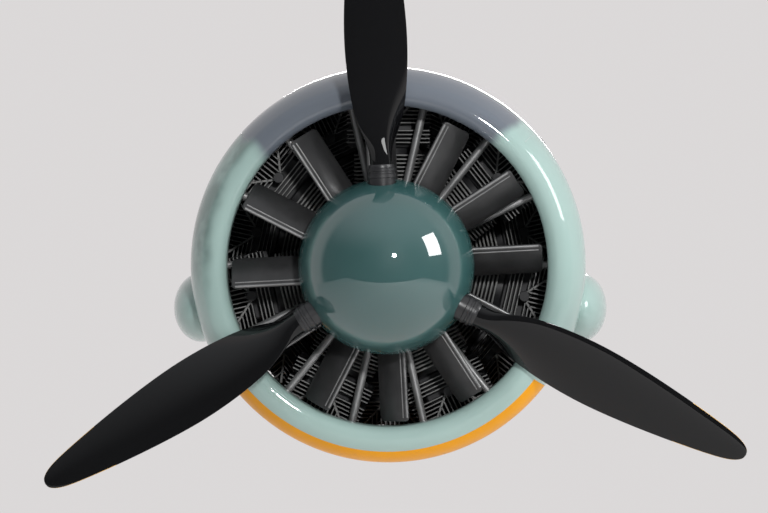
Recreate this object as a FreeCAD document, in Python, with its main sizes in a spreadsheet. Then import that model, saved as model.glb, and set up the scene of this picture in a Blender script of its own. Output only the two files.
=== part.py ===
import FreeCAD, Part
import math
import os
import re

import Sketcher

# A two-row, fourteen-cylinder radial model engine with its cowl, cooling fan, spinner and
# three-bladed propeller. Millimetres. The shaft lies along Y with the propeller towards -Y,
# +X is to the right seen from the propeller and +Z is up. The origin is where the shaft
# axis meets the rear face of the mount ring.

DIMENSIONS = {
    # mount
    "mount_ring_outer": 125,
    "mount_ring_margin": 4,
    "mount_ring_thickness": 8,
    "mount_bolt_circle": 110,
    "mount_bolt_hole": 3.2,
    "mount_bolts": 8,
    "leg_length": 38,
    "leg_radius": 5,
    "leg_inset": 1,
    "leg_shift_angle": 2.3,
    # crankcase
    "row_cylinders": 7,
    "case_flat_radius": 72,
    "row_setback": 44,
    "row_gap": 8,
    "front_case_reach": 36,
    "case_wall": 10,
    "cam_chamber": 14,
    "nose_case_length": 23,
    "nose_inset": 2,
    "nose_boss_radius": 40,
    "rear_cover_inset": 6,
    "rear_cover_length": 32,
    "rear_cover_wall": 5,
    "rear_cover_overlap": 3.5,
    # shaft and bearings
    "shaft_radius": 15,
    "running_clearance": 0.05,
    "bearing_radius": 26,
    "race_thickness": 4,
    "shield_width": 3,
    "shield_depth": 1,
    "throw_radius": 20,
    "crankpin_radius": 9,
    "crankpin_length": 16,
    "web_radius": 34,
    "web_thickness": 8,
    "shaft_collar_radius": 22,
    "shaft_end_gap": 1,
    # cam plates
    "cam_width": 9,
    "cam_clearance": 6,
    "cam_lobe_radius": 14,
    "cam_lobe_lift": 4,
    "cam_hole_radius": 8,
    "cam_hole_offset": 3,
    # cylinders
    "bore_radius": 20,
    "skirt_radius": 24.4,
    "skirt_depth": 8,
    "barrel_radius": 26,
    "flange_radius": 31,
    "flange_thickness": 5,
    "barrel_height": 46,
    "barrel_fins": 8,
    "barrel_fin_radius": 36,
    "barrel_fin_start": 10,
    "fin_pitch": 4,
    "fin_thickness": 1.8,
    "fin_root": 1,
    # heads
    "head_width": 84,
    "head_depth": 62,
    "head_core_width": 50,
    "head_core_depth": 44,
    "head_core_rise": 12,
    "head_height": 50,
    "head_base_fins": 4,
    "head_base_start": 5,
    "valley_height": 29,
    "comb_fins": 9,
    "comb_pitch": 4.6,
    "cross_fins": 5,
    "ridge_thickness": 3,
    "head_top_thickness": 3,
    # rocker covers and pushrods
    "cover_offset": 30,
    "cover_width": 24,
    "cover_height": 14,
    "cover_margin": 2,
    "pushrod_tube_radius": 4,
    "pushrod_tube_bore": 2.6,
    "pushrod_radius": 1.8,
    "pushrod_plane_offset": 6,
    "tube_seat": 4,
    "tappet_gap": 0.3,
    # plugs and pipes
    "plug_radius": 5,
    "plug_length": 9,
    "plug_height": 23.5,
    "intake_radius": 7,
    "pipe_wall": 1.2,
    "pipe_offset": 14,
    "intake_height": 31,
    "intake_plane": 12,
    "exhaust_radius": 8,
    "exhaust_height": 43,
    "exhaust_overhang": 16,
    "pipe_overlap": 1,
    # pistons and rods
    "piston_height": 30,
    "piston_crown": 6,
    "piston_wall": 3,
    "piston_gap": 10,
    "wrist_pin_radius": 5,
    "wrist_pin_height": 14,
    "wrist_pin_gap": 1.2,
    "rod_hub_bore": 31,
    "rod_hub_radius": 38,
    "rod_width": 12,
    "rod_thickness": 9,
    "rod_root": 2,
    "rod_eye_wall": 3,
    # cowl
    "cowl_clearance": 10.72,
    "cowl_wall": 2.5,
    "lip_depth": 24,
    "crest_rise": 10.5,
    "crest_inset": 14.5,
    "shoulder_drop": 14,
    "shoulder_length": 44,
    "straight_length": 86.5,
    "taper_length": 90,
    "taper_drop": 3,
    "lower_panel_start_angle": 221,
    "lower_panel_end_angle": 322.6,
    "top_panel_start_angle": 42,
    "top_panel_end_angle": 138,
    "fairing_reach": 26,
    "fairing_half_height": 36,
    "fairing_half_length": 78,
    "fairing_drop": 46,
    "fairing_setback": 76.5,
    "fairing_sink": 6,
    "bracket_width": 14,
    "screw_radius": 2,
    "screw_head_radius": 3.6,
    "screw_head_height": 1.2,
    "screw_length": 12,
    "bracket_clearance": 0.5,
    # carburettor
    "carb_length": 46,
    "carb_radius": 20,
    "carb_bore": 9,
    "carb_mouth_radius": 11,
    "carb_mouth_depth": 10,
    "carb_boss_radius": 17,
    "carb_boss_length": 54,
    "throttle_radius": 12,
    "arm_thickness": 3,
    "arm_gap": 1,
    "arm_root_margin": 2,
    "arm_length": 26,
    "arm_width": 10,
    "arm_hole_radius": 1.6,
    # fan, spinner and propeller
    "fan_clearance": 5,
    "fan_standoff": 25,
    "fan_hub_radius": 84,
    "fan_hub_wall": 6,
    "fan_web": 4,
    "fan_hub_length": 32,
    "fan_blades": 12,
    "fan_chord": 40,
    "fan_pitch_angle": 45,
    "fan_camber_radius": 60,
    "fan_blade_thickness": 3,
    "fan_edge_thickness": 1.2,
    "fan_nose_radius": 1.8,
    "fan_root": 3,
    "fan_first_angle": 3,
    "spinner_radius": 88,
    "spinner_length": 94,
    "spinner_wall": 2.5,
    "spinner_rim": 6,
    "spinner_rim_length": 4,
    "spinner_rim_inset": 1,
    "backplate_thickness": 4,
    "blade_axis_setback": 22,
    "hub_radius": 26,
    "hub_length": 44,
    "socket_radius": 18,
    "socket_reach": 66,
    "blade_hole_gap": 1,
    "shank_radius": 11.5,
    "shank_start": 36,
    "collar_radius": 13.5,
    "collar_length": 14,
    "collar_step": 0.8,
    "collar_step_place": 2,
    "collar_step_width": 4,
    "blade_gap": 2,
    "shank_overlap": 12,
    "propeller_radius": 404,
    "blade_chord": 70,
    "blade_thickness": 13,
    "first_blade_angle": 92.5,
    "nut_radius": 21,
    "nut_length": 14,
    # how far a cutting tool runs past the face that it leaves by
    "cut_margin": 1,
}

# Sizes that follow from the ones above.
DERIVED = {
    "cavity_radius": "case_flat_radius - case_wall",
    "case_corner_radius": "case_flat_radius / cos(180 / row_cylinders)",
    "nose_case_radius": "case_flat_radius - nose_inset",
    "rear_cover_radius": "cavity_radius - rear_cover_inset",
    "rear_cover_flange": "cavity_radius + rear_cover_overlap",
    "leg_circle": "case_flat_radius - leg_inset",
    "mount_ring_inner": "leg_circle - leg_radius - mount_ring_margin",
    "cam_radius": "cavity_radius - cam_clearance - cam_lobe_lift",
    "row_spacing": "head_depth + row_gap",
    "head_seat": "case_flat_radius + barrel_height",
    "head_top": "head_seat + head_height",
    "piston_place": "head_seat - piston_gap - piston_height",
    "pushrod_spread": "90 / row_cylinders",
    "cover_edge": "cover_offset + cover_width / 2",
    "cover_corner_radius": "sqrt(cover_edge^2 + (head_top + cover_height)^2)",
    "cowl_radius": "cover_corner_radius + cowl_clearance + cowl_wall",
    "cowl_rear_radius": "cowl_radius - taper_drop",
    "ring_edge_radius": "cowl_radius - shoulder_drop",
    "crest_radius": "ring_edge_radius - crest_inset",
    "lip_radius": "crest_radius - crest_rise",
    "crest_lead": "crest_inset * (shoulder_length - shoulder_drop) / (shoulder_length + shoulder_drop)",
    "lip_front_curve": "(crest_rise^2 + crest_lead^2) / (2 * crest_lead)",
    "lip_outer_curve": "(crest_inset^2 + crest_lead^2) / (2 * crest_lead)",
    "shoulder_curve": "(shoulder_drop^2 + shoulder_length^2) / (2 * shoulder_drop)",
    "fan_radius": "lip_radius - fan_clearance",
    "blade_hole_radius": "collar_radius + blade_hole_gap",
}

WORD = re.compile(r"[a-z_]+")
ALONG_SHAFT = FreeCAD.Rotation(FreeCAD.Vector(1, 0, 0), -90)
ALONG_X = FreeCAD.Rotation(FreeCAD.Vector(0, 1, 0), 90)
UPRIGHT = FreeCAD.Rotation()

doc = FreeCAD.newDocument("radial_engine")
sheet = doc.addObject("Spreadsheet::Sheet", "Dims")
for row, (alias, size) in enumerate(DIMENSIONS.items(), start=1):
    sheet.set(f"A{row}", alias)
    sheet.set(f"B{row}", str(size))
    sheet.setAlias(f"B{row}", alias)
doc.recompute()

NODES = []


def reference(word):
    """Gives what stands for a word in an expression: a sheet cell, a derived size or itself."""
    if word in DERIVED:
        return f"({bound(DERIVED[word])})"
    return "Dims." + word if word in DIMENSIONS else word


def bound(text):
    """Turns the names of sizes in an expression into references to the sheet."""
    return WORD.sub(lambda word: reference(word[0]), text)


def value(text):
    """Gives the number that an expression has at the sheet's present sizes."""
    found = sheet.evalExpression(bound(text))
    return float(getattr(found, "Value", found))


def primitive(kind, name, turn=UPRIGHT, place=("0", "0", "0"), **sizes):
    """Adds a Part primitive whose sizes and place are expressions."""
    made = doc.addObject("Part::" + kind, name)
    made.Placement = FreeCAD.Placement(FreeCAD.Vector(), turn)
    for size, text in sizes.items():
        made.setExpression(size, bound(text))
    for axis, text in zip("xyz", place):
        made.setExpression("Placement.Base." + axis, bound(text))
    return made


def rod(name, radius, start, end, x="0", z="0"):
    """Adds a cylinder along the shaft's direction, from one place on Y to another."""
    return primitive("Cylinder", name, ALONG_SHAFT, (x, start, z), Radius=radius, Height=f"{end} - ({start})")


def spoke(name, radius, start, end, y, x="0"):
    """Adds a cylinder that points straight up from the shaft, between two radii."""
    return primitive("Cylinder", name, UPRIGHT, (x, y, start), Radius=radius, Height=f"{end} - ({start})")


def block(name, wide, deep, tall, x, y, z, turn=UPRIGHT):
    """Adds a box that is centred on x and y and stands on z."""
    return primitive("Box", name, turn, (f"{x} - ({wide}) / 2", f"{y} - ({deep}) / 2", z),
                     Length=wide, Width=deep, Height=tall)


def cut(name, base, tool):
    """Cuts the tool out of the base."""
    made = doc.addObject("Part::Cut", name)
    made.Base = base
    made.Tool = tool
    return made


def common(name, base, tool):
    """Keeps what the base and the tool share."""
    made = doc.addObject("Part::Common", name)
    made.Base = base
    made.Tool = tool
    return made


def fuse(name, *members):
    """Joins the members into one solid."""
    made = doc.addObject("Part::MultiFuse", name)
    made.Shapes = list(members)
    return made


def around(name, master, angle):
    """Places a copy of a master that points up at another angle about the shaft."""
    made = doc.addObject("Part::Compound", name)
    made.Links = [master]
    turn = FreeCAD.Rotation(FreeCAD.Vector(0, 1, 0), 90 - angle)
    made.Placement = FreeCAD.Placement(FreeCAD.Vector(), turn)
    return made


def ring_of(name, master, angles):
    """Gathers copies of a master at several angles about the shaft, as separate solids."""
    made = doc.addObject("Part::Compound", name)
    made.Links = [around(f"{name}_at_{number}", master, angle) for number, angle in enumerate(angles, 1)]
    return made


def together(name, *members):
    """Gathers separate solids under one name."""
    made = doc.addObject("Part::Compound", name)
    made.Links = list(members)
    return made


def node(label, made):
    """Names a finished piece and lists it for export."""
    made.Label = label
    NODES.append(made)
    return made


def sketch_on(body, name, role="XY_Plane"):
    """Attaches a new sketch to one of the body's own origin planes."""
    made = body.newObject("Sketcher::SketchObject", name)
    plane = next(item for item in body.Origin.OriginFeatures if item.Role == role)
    made.AttachmentSupport = [(plane, "")]
    made.MapMode = "FlatFace"
    return made


def arc_between(start, stop, radius, side):
    """Gives the short arc from start to stop that bulges left (1) or right (-1) of the way."""
    chord = stop - start
    left = FreeCAD.Vector(-chord.y, chord.x, 0).normalize()
    rise = math.sqrt(max(radius**2 - (chord.Length / 2) ** 2, 0))
    centre = (start + stop) * 0.5 - left * side * rise
    first, last = (stop, start) if side > 0 else (start, stop)
    begin = math.atan2(first.y - centre.y, first.x - centre.x)
    end = math.atan2(last.y - centre.y, last.x - centre.x)
    if end < begin:
        end += 2 * math.pi
    return Part.ArcOfCircle(Part.Circle(centre, FreeCAD.Vector(0, 0, 1), radius), begin, end)


def outline(sketch, corners, arcs=None):
    """Draws a closed outline: corners are pairs of expressions, and arcs gives the side after a
    corner a radius and the way it bulges."""
    arcs = arcs or {}
    places = [FreeCAD.Vector(value(x), value(y), 0) for x, y in corners]
    sides = []
    for number, start in enumerate(places):
        stop = places[(number + 1) % len(places)]
        if number in arcs:
            radius, bulge = arcs[number]
            geometry = sketch.addGeometry(arc_between(start, stop, value(radius), bulge), False)
            sides.append((geometry, 2, 1) if bulge > 0 else (geometry, 1, 2))
        else:
            geometry = sketch.addGeometry(Part.LineSegment(start, stop), False)
            sides.append((geometry, 1, 2))
    for number, (geometry, _, last) in enumerate(sides):
        following, first, _ = sides[(number + 1) % len(sides)]
        sketch.addConstraint(Sketcher.Constraint("Coincident", geometry, last, following, first))
    for number, (geometry, first, _) in enumerate(sides):
        for kind, axis, text in zip(("DistanceX", "DistanceY"), (-2, -1), corners[number]):
            if text == "0":
                sketch.addConstraint(Sketcher.Constraint("PointOnObject", geometry, first, axis))
                continue
            index = sketch.addConstraint(Sketcher.Constraint(kind, -1, 1, geometry, first, value(text)))
            sketch.renameConstraint(index, f"{kind}_{number}")
            sketch.setExpression(f"Constraints.{kind}_{number}", bound(text))
    for number, (radius, _) in arcs.items():
        index = sketch.addConstraint(Sketcher.Constraint("Radius", sides[number][0], value(radius)))
        sketch.renameConstraint(index, f"Radius_{number}")
        sketch.setExpression(f"Constraints.Radius_{number}", bound(radius))


def new_body(name):
    """Adds an empty PartDesign body."""
    return doc.addObject("PartDesign::Body", name)


def turn_profile(body, name, corners, arcs=None, sweep="360"):
    """Revolves an outline about the body's Y axis."""
    sketch = sketch_on(body, name + "_outline")
    outline(sketch, corners, arcs)
    made = body.newObject("PartDesign::Revolution", name)
    made.Profile = sketch
    made.ReferenceAxis = (sketch, ["V_Axis"])
    made.setExpression("Angle", bound(sweep))
    return made


def turned(name, corners, arcs=None, sweep="360"):
    """Makes a body that is one revolved outline."""
    body = new_body(name)
    turn_profile(body, name + "_turning", corners, arcs, sweep)
    return body


# Places along the shaft, from the mount ring's rear face forwards (towards -Y).
RING_FRONT = "(-mount_ring_thickness)"
REAR_FACE = "(-mount_ring_thickness - leg_length)"
REAR_ROW = f"({REAR_FACE} - row_setback)"
FRONT_ROW = f"({REAR_ROW} - row_spacing)"
MIDDLE = f"({REAR_ROW} - row_spacing / 2)"
FRONT_FACE = f"({FRONT_ROW} - front_case_reach)"
NOSE_FACE = f"({FRONT_FACE} - nose_case_length)"
FAN_WEB_BACK = f"({NOSE_FACE} - fan_standoff)"
FAN_FACE = f"({FAN_WEB_BACK} - fan_web)"
BACKPLATE_FACE = f"({FAN_FACE} - backplate_thickness)"
BLADE_AXIS = f"({BACKPLATE_FACE} - blade_axis_setback)"
HUB_FRONT = f"({BACKPLATE_FACE} - hub_length)"
CREST = FAN_FACE
COWL_JOINT = f"({CREST} + crest_lead)"
SHOULDER = f"({COWL_JOINT} + shoulder_length)"
TAPER_START = f"({SHOULDER} + straight_length)"
COWL_REAR = f"({TAPER_START} + taper_length)"
PLUG_HEIGHT = "(head_seat + plug_height)"
FRONT_PUSHRODS = f"({FRONT_FACE} - pushrod_plane_offset)"
REAR_PUSHRODS = f"({REAR_FACE} - cam_chamber / 2)"
COVER_BACK = f"({REAR_FACE} + rear_cover_length)"
CARB_FRONT = COVER_BACK
CARB_BACK = f"({CARB_FRONT} + carb_length)"

ROW = DIMENSIONS["row_cylinders"]
ROW_STEP = 360 / ROW
FRONT_ANGLES = [90 + number * ROW_STEP for number in range(ROW)]
REAR_ANGLES = [angle + ROW_STEP / 2 for angle in FRONT_ANGLES]
BLADE_ANGLES = [DIMENSIONS["first_blade_angle"] + number * 120 for number in range(3)]
CAM_LOBE_ANGLES = [90 + number * 120 for number in range(3)]
CAM_HOLE_ANGLES = [30 + number * 60 for number in range(6)]


def mount():
    """The rear ring that bolts to the airframe, and the legs that carry the engine on it."""
    disc = rod("ring_disc", "mount_ring_outer", RING_FRONT, "0")
    hole = rod("ring_hole", "mount_ring_inner", RING_FRONT, "0")
    bolt = rod("ring_bolt_hole", "mount_bolt_hole", RING_FRONT, "0", z="mount_bolt_circle")
    count = DIMENSIONS["mount_bolts"]
    angles = [number * 360 / count for number in range(count)]
    holes = fuse("ring_holes", hole, ring_of("ring_bolt_holes", bolt, angles))
    node("mount_ring", cut("mount_ring", disc, holes))
    leg = rod("leg", "leg_radius", REAR_FACE, RING_FRONT, z="leg_circle")
    shift = DIMENSIONS["leg_shift_angle"]
    node("mount_legs", ring_of("mount_legs", leg, [angle - shift for angle in FRONT_ANGLES]))


def crankcase_half(name, start, end, row, angles, cavity, tappets=None):
    """A seven-sided crankcase half: a prism with a flat and a bore for each cylinder, a turned
    cavity and, where they are given, the holes for the tappets."""
    turn = FreeCAD.Rotation(FreeCAD.Vector(0, 1, 0), -angles[0] - ROW_STEP / 2).multiply(ALONG_SHAFT)
    prism = primitive("Prism", name + "_prism", turn, ("0", start, "0"), Polygon="row_cylinders",
                      Circumradius="case_corner_radius", Height=f"{end} - {start}")
    bore = spoke(name + "_bore", "skirt_radius", "(sqrt(cavity_radius^2 - skirt_radius^2) - cut_margin)",
                 "(case_flat_radius + cut_margin)", row)
    bores = fuse(name + "_bores", *[around(f"{name}_bore_{number}", bore, angle)
                                    for number, angle in enumerate(angles, 1)])
    made = cut(name + "_bored", cut(name + "_hollow", prism, turned(name + "_cavity", cavity)), bores)
    return cut(name, made, tappets) if tappets else made


def crankcase():
    """The two crankcase halves, the nose case, the rear cover and the main bearings."""
    wall = f"({REAR_FACE} - cam_chamber)"
    tube = spoke("rear_tappet", "pushrod_tube_radius", "(cavity_radius - pushrod_tube_radius)",
                 "case_corner_radius", REAR_PUSHRODS)
    node("rear_crankcase", crankcase_half("rear_crankcase", MIDDLE, REAR_FACE, REAR_ROW, REAR_ANGLES, [
        ("0", MIDDLE),
        ("cavity_radius", MIDDLE),
        ("cavity_radius", f"{wall} - case_wall"),
        ("bearing_radius", f"{wall} - case_wall"),
        ("bearing_radius", wall),
        ("cavity_radius", wall),
        ("cavity_radius", REAR_FACE),
        ("0", REAR_FACE),
    ], ring_of("rear_tappets", tube, pushrods(REAR_ANGLES))))
    node("front_crankcase", crankcase_half("front_crankcase", FRONT_FACE, MIDDLE, FRONT_ROW, FRONT_ANGLES, [
        ("0", FRONT_FACE),
        ("bearing_radius", FRONT_FACE),
        ("bearing_radius", f"{FRONT_FACE} + case_wall"),
        ("cavity_radius", f"{FRONT_FACE} + case_wall"),
        ("cavity_radius", f"{MIDDLE} - case_wall"),
        ("bearing_radius", f"{MIDDLE} - case_wall"),
        ("bearing_radius", MIDDLE),
        ("0", MIDDLE),
    ]))

    nose = turned("nose_shell", [
        ("cavity_radius", FRONT_FACE),
        ("nose_case_radius", FRONT_FACE),
        ("nose_case_radius", f"{NOSE_FACE} + case_wall"),
        ("nose_boss_radius", NOSE_FACE),
        ("bearing_radius", NOSE_FACE),
        ("bearing_radius", f"{NOSE_FACE} + case_wall"),
        ("cavity_radius", f"{NOSE_FACE} + case_wall"),
    ])
    tube = spoke("front_tappet", "pushrod_tube_radius", "(cavity_radius - pushrod_tube_radius)",
                 "(nose_case_radius + cut_margin)", FRONT_PUSHRODS)
    node("nose_case", cut("nose_case", nose, ring_of("front_tappets", tube, pushrods(FRONT_ANGLES))))

    node("rear_cover", turned("rear_cover", [
        ("carb_bore", COVER_BACK),
        ("rear_cover_radius", COVER_BACK),
        ("rear_cover_radius", f"{REAR_FACE} + rear_cover_wall"),
        ("rear_cover_flange", f"{REAR_FACE} + rear_cover_wall"),
        ("rear_cover_flange", REAR_FACE),
        ("rear_cover_radius - rear_cover_wall", REAR_FACE),
        ("rear_cover_radius - rear_cover_wall", f"{COVER_BACK} - rear_cover_wall"),
        ("carb_bore", f"{COVER_BACK} - rear_cover_wall"),
    ]))

    bearings = []
    seats = (NOSE_FACE, FRONT_FACE, f"({MIDDLE} - case_wall)", f"({wall} - case_wall)")
    for number, start in enumerate(seats, 1):
        bearings.append(turned(f"bearing_{number}", [
            ("shaft_radius + running_clearance", start),
            ("bearing_radius - race_thickness - shield_width", start),
            ("bearing_radius - race_thickness - shield_width", f"{start} + shield_depth"),
            ("bearing_radius - race_thickness", f"{start} + shield_depth"),
            ("bearing_radius - race_thickness", start),
            ("bearing_radius", start),
            ("bearing_radius", f"{start} + case_wall"),
            ("shaft_radius + running_clearance", f"{start} + case_wall"),
        ]))
    node("main_bearings", together("main_bearings", *bearings))


def pushrods(angles):
    """The angles of the two pushrods beside each cylinder of a row."""
    spread = value("pushrod_spread")
    return [angle + way * spread for angle in angles for way in (-1, 1)]


def barrel_master(name, row):
    """One finned cylinder barrel that points up from the shaft."""
    body = new_body(name)
    turn_profile(body, name + "_barrel", [
        ("bore_radius", "case_flat_radius - skirt_depth"),
        ("skirt_radius", "case_flat_radius - skirt_depth"),
        ("skirt_radius", "case_flat_radius"),
        ("flange_radius", "case_flat_radius"),
        ("flange_radius", "case_flat_radius + flange_thickness"),
        ("barrel_radius", "case_flat_radius + flange_thickness"),
        ("barrel_radius", "head_seat"),
        ("bore_radius", "head_seat"),
    ])
    first = "case_flat_radius + barrel_fin_start"
    fin = turn_profile(body, name + "_fin", [
        ("barrel_radius - fin_root", first),
        ("barrel_fin_radius", first),
        ("barrel_fin_radius", f"{first} + fin_thickness"),
        ("barrel_radius - fin_root", f"{first} + fin_thickness"),
    ])
    pattern = body.newObject("PartDesign::LinearPattern", name + "_fins")
    pattern.Originals = [fin]
    pattern.Direction = (fin.Profile[0], ["V_Axis"])
    pattern.setExpression("Occurrences", bound("barrel_fins"))
    pattern.setExpression("Length", bound("(barrel_fins - 1) * fin_pitch"))
    body.Tip = pattern
    body.Placement = FreeCAD.Placement(FreeCAD.Vector(), FreeCAD.Rotation(FreeCAD.Vector(1, 0, 0), 90))
    body.setExpression("Placement.Base.y", bound(row))
    return body


def row_of_blocks(name, count, wide, deep, tall, x, z, y, step_x="0", step_z="0"):
    """A row of equal plates, a step apart, as one fused tool."""
    plates = []
    for number in range(int(value(count))):
        plates.append(block(f"{name}_{number}", wide, deep, tall,
                            f"({x} + {number} * ({step_x}))", y, f"({z} + {number} * ({step_z}))"))
    return together(name, *plates)


def head_master(name, row):
    """One finned cylinder head: flat fins at its base, and above them a valley of upright fins
    between two ridges that lean outwards, with level fins outside them."""
    core = block(name + "_core", "head_core_width", "head_core_depth",
                 "head_height - valley_height + head_core_rise", "0", row, "head_seat")
    base = row_of_blocks(name + "_base_fins", "head_base_fins", "head_width", "head_depth", "fin_thickness",
                         "0", "(head_seat + head_base_start)", row, step_z="fin_pitch")
    apex = "(head_top - valley_height)"
    valley = new_body(name + "_valley")
    sketch = sketch_on(valley, name + "_valley_outline", "XZ_Plane")
    outline(sketch, [("0", apex), ("valley_height", "head_top"), ("-valley_height", "head_top")])
    pad = valley.newObject("PartDesign::Pad", name + "_valley_pad")
    pad.Profile = sketch
    pad.Midplane = True
    pad.setExpression("Length", bound("head_depth"))
    valley.setExpression("Placement.Base.y", bound(row))
    comb = row_of_blocks(name + "_comb", "comb_fins", "fin_thickness", "head_depth", "valley_height",
                         "(-(comb_fins - 1) * comb_pitch / 2)", apex, row, step_x="comb_pitch")
    comb = common(name + "_comb_fins", comb, valley)
    level = row_of_blocks(name + "_level", "cross_fins", "head_width", "head_depth", "fin_thickness",
                          "0", f"({apex} + fin_pitch)", row, step_z="fin_pitch")
    level = cut(name + "_level_fins", level, valley)
    ridges = []
    edge = "ridge_thickness * sin(45)"
    for way, turn, x, z in (("right", 45, "0", apex), ("left", -45, f"-{edge}", f"{apex} - {edge}")):
        ridges.append(primitive("Box", f"{name}_ridge_{way}", FreeCAD.Rotation(FreeCAD.Vector(0, 1, 0), turn),
                                (x, f"{row} - head_depth / 2", z), Length="ridge_thickness",
                                Width="head_depth", Height="valley_height * sqrt(2) - ridge_thickness"))
    top = block(name + "_top", "cover_edge * 2", "head_core_depth", "head_top_thickness",
                "0", row, "(head_top - head_top_thickness)")
    whole = fuse(name + "_solid", core, base, comb, level, *ridges, top)
    hole = rod(name + "_plug_hole", "plug_radius", f"({row} - head_depth)", f"({row} - head_core_depth / 2)",
               z=PLUG_HEIGHT)
    return cut(name, whole, hole)


def cylinders():
    """Both rows of barrels and heads: the front row one by one, the rear row as two groups."""
    barrel = barrel_master("front_barrel", FRONT_ROW)
    head = head_master("front_head", FRONT_ROW)
    for number, angle in enumerate(FRONT_ANGLES, 1):
        node(f"front_cylinder_{number}", around(f"front_cylinder_{number}", barrel, angle))
        node(f"front_head_{number}", around(f"front_head_{number}", head, angle))
    node("rear_cylinders", ring_of("rear_cylinders", barrel_master("rear_barrel", REAR_ROW), REAR_ANGLES))
    node("rear_heads", ring_of("rear_heads", head_master("rear_head", REAR_ROW), REAR_ANGLES))


def valve_gear(row_name, row, rods, side, angles):
    """Rocker covers, pushrod tubes and pushrods of one row. side is -1 where the pushrods stand
    before the row and 1 where they stand behind it."""
    reach = f"(({rods} - ({row})) * {side} + pushrod_tube_radius + cover_margin)"
    deep = f"(head_core_depth / 2 + {reach})"
    middle = f"({row} + {side} * ({reach} - head_core_depth / 2) / 2)"
    covers = [block(f"{row_name}_cover_{way}", "cover_width", deep, "cover_height", place, middle, "head_top")
              for way, place in (("right", "cover_offset"), ("left", "-cover_offset"))]
    node(f"{row_name}_rocker_covers", ring_of(f"{row_name}_rocker_covers",
         together(f"{row_name}_cover_pair", *covers), angles))
    foot = "(nose_case_radius - tube_seat)" if side < 0 else "(case_flat_radius - tube_seat)"
    top = "((head_top - pushrod_tube_radius * sin(pushrod_spread)) / cos(pushrod_spread))"
    outer = spoke(f"{row_name}_tube_outer", "pushrod_tube_radius", foot, top, rods)
    inner = spoke(f"{row_name}_tube_inner", "pushrod_tube_bore", foot, top, rods)
    tube = cut(f"{row_name}_tube", outer, inner)
    node(f"{row_name}_pushrod_tubes", ring_of(f"{row_name}_pushrod_tubes", tube, pushrods(angles)))
    push = spoke(f"{row_name}_push", "pushrod_radius", "(cam_radius + cam_lobe_lift + tappet_gap)", top, rods)
    return ring_of(f"{row_name}_pushes", push, pushrods(angles))


def plugs_and_pipes():
    """Glow plugs, intake pipes and exhaust stubs of both rows."""
    front_plug = rod("front_plug", "plug_radius", f"({FRONT_ROW} - head_depth / 2 - plug_length)",
                     f"({FRONT_ROW} - head_core_depth / 2)", z=PLUG_HEIGHT)
    rear_plug = rod("rear_plug", "plug_radius", f"({REAR_ROW} - head_depth / 2 - plug_length / 2)",
                    f"({REAR_ROW} - head_core_depth / 2)", z=PLUG_HEIGHT)
    node("glow_plugs", together("glow_plugs", ring_of("front_plugs", front_plug, FRONT_ANGLES),
                                ring_of("rear_plugs", rear_plug, REAR_ANGLES)))

    plane = f"({REAR_FACE} + intake_plane)"
    port = "(head_seat + intake_height)"
    outlet = f"({REAR_FACE} + exhaust_overhang)"
    pipes = []
    stubs = []
    for row_name, row, angles in (("front", FRONT_ROW, FRONT_ANGLES), ("rear", REAR_ROW, REAR_ANGLES)):
        back = f"({row} + head_depth / 2)"
        solids = []
        for part_name, radius, foot in (("wall", "intake_radius", "0"),
                                        ("way", "(intake_radius - pipe_wall)", "pipe_overlap")):
            riser = spoke(f"{row_name}_riser_{part_name}", radius, f"(rear_cover_radius - {foot})", port,
                          plane, "-pipe_offset")
            elbow = primitive("Sphere", f"{row_name}_elbow_{part_name}", UPRIGHT,
                              ("-pipe_offset", plane, port), Radius=radius)
            run = rod(f"{row_name}_run_{part_name}", radius, f"({back} - {foot})", plane,
                      "-pipe_offset", port)
            solids.append(fuse(f"{row_name}_intake_{part_name}", riser, elbow, run))
        trim = rod(f"{row_name}_intake_trim", "rear_cover_radius", f"({plane} - intake_radius - cut_margin)",
                   f"({plane} + intake_radius + cut_margin)")
        pipe = cut(f"{row_name}_intake_open", solids[0], fuse(f"{row_name}_intake_space", solids[1], trim))
        pipes.append(ring_of(f"{row_name}_intakes", pipe, angles))
        height = "(head_seat + exhaust_height)"
        stub = cut(f"{row_name}_stub",
                   rod(f"{row_name}_stub_wall", "exhaust_radius", back, outlet, "pipe_offset", height),
                   rod(f"{row_name}_stub_way", "(exhaust_radius - pipe_wall)", back, outlet,
                       "pipe_offset", height))
        stubs.append(ring_of(f"{row_name}_stubs", stub, angles))
    node("intake_pipes", together("intake_pipes", *pipes))
    node("exhaust_stubs", together("exhaust_stubs", *stubs))


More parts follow.
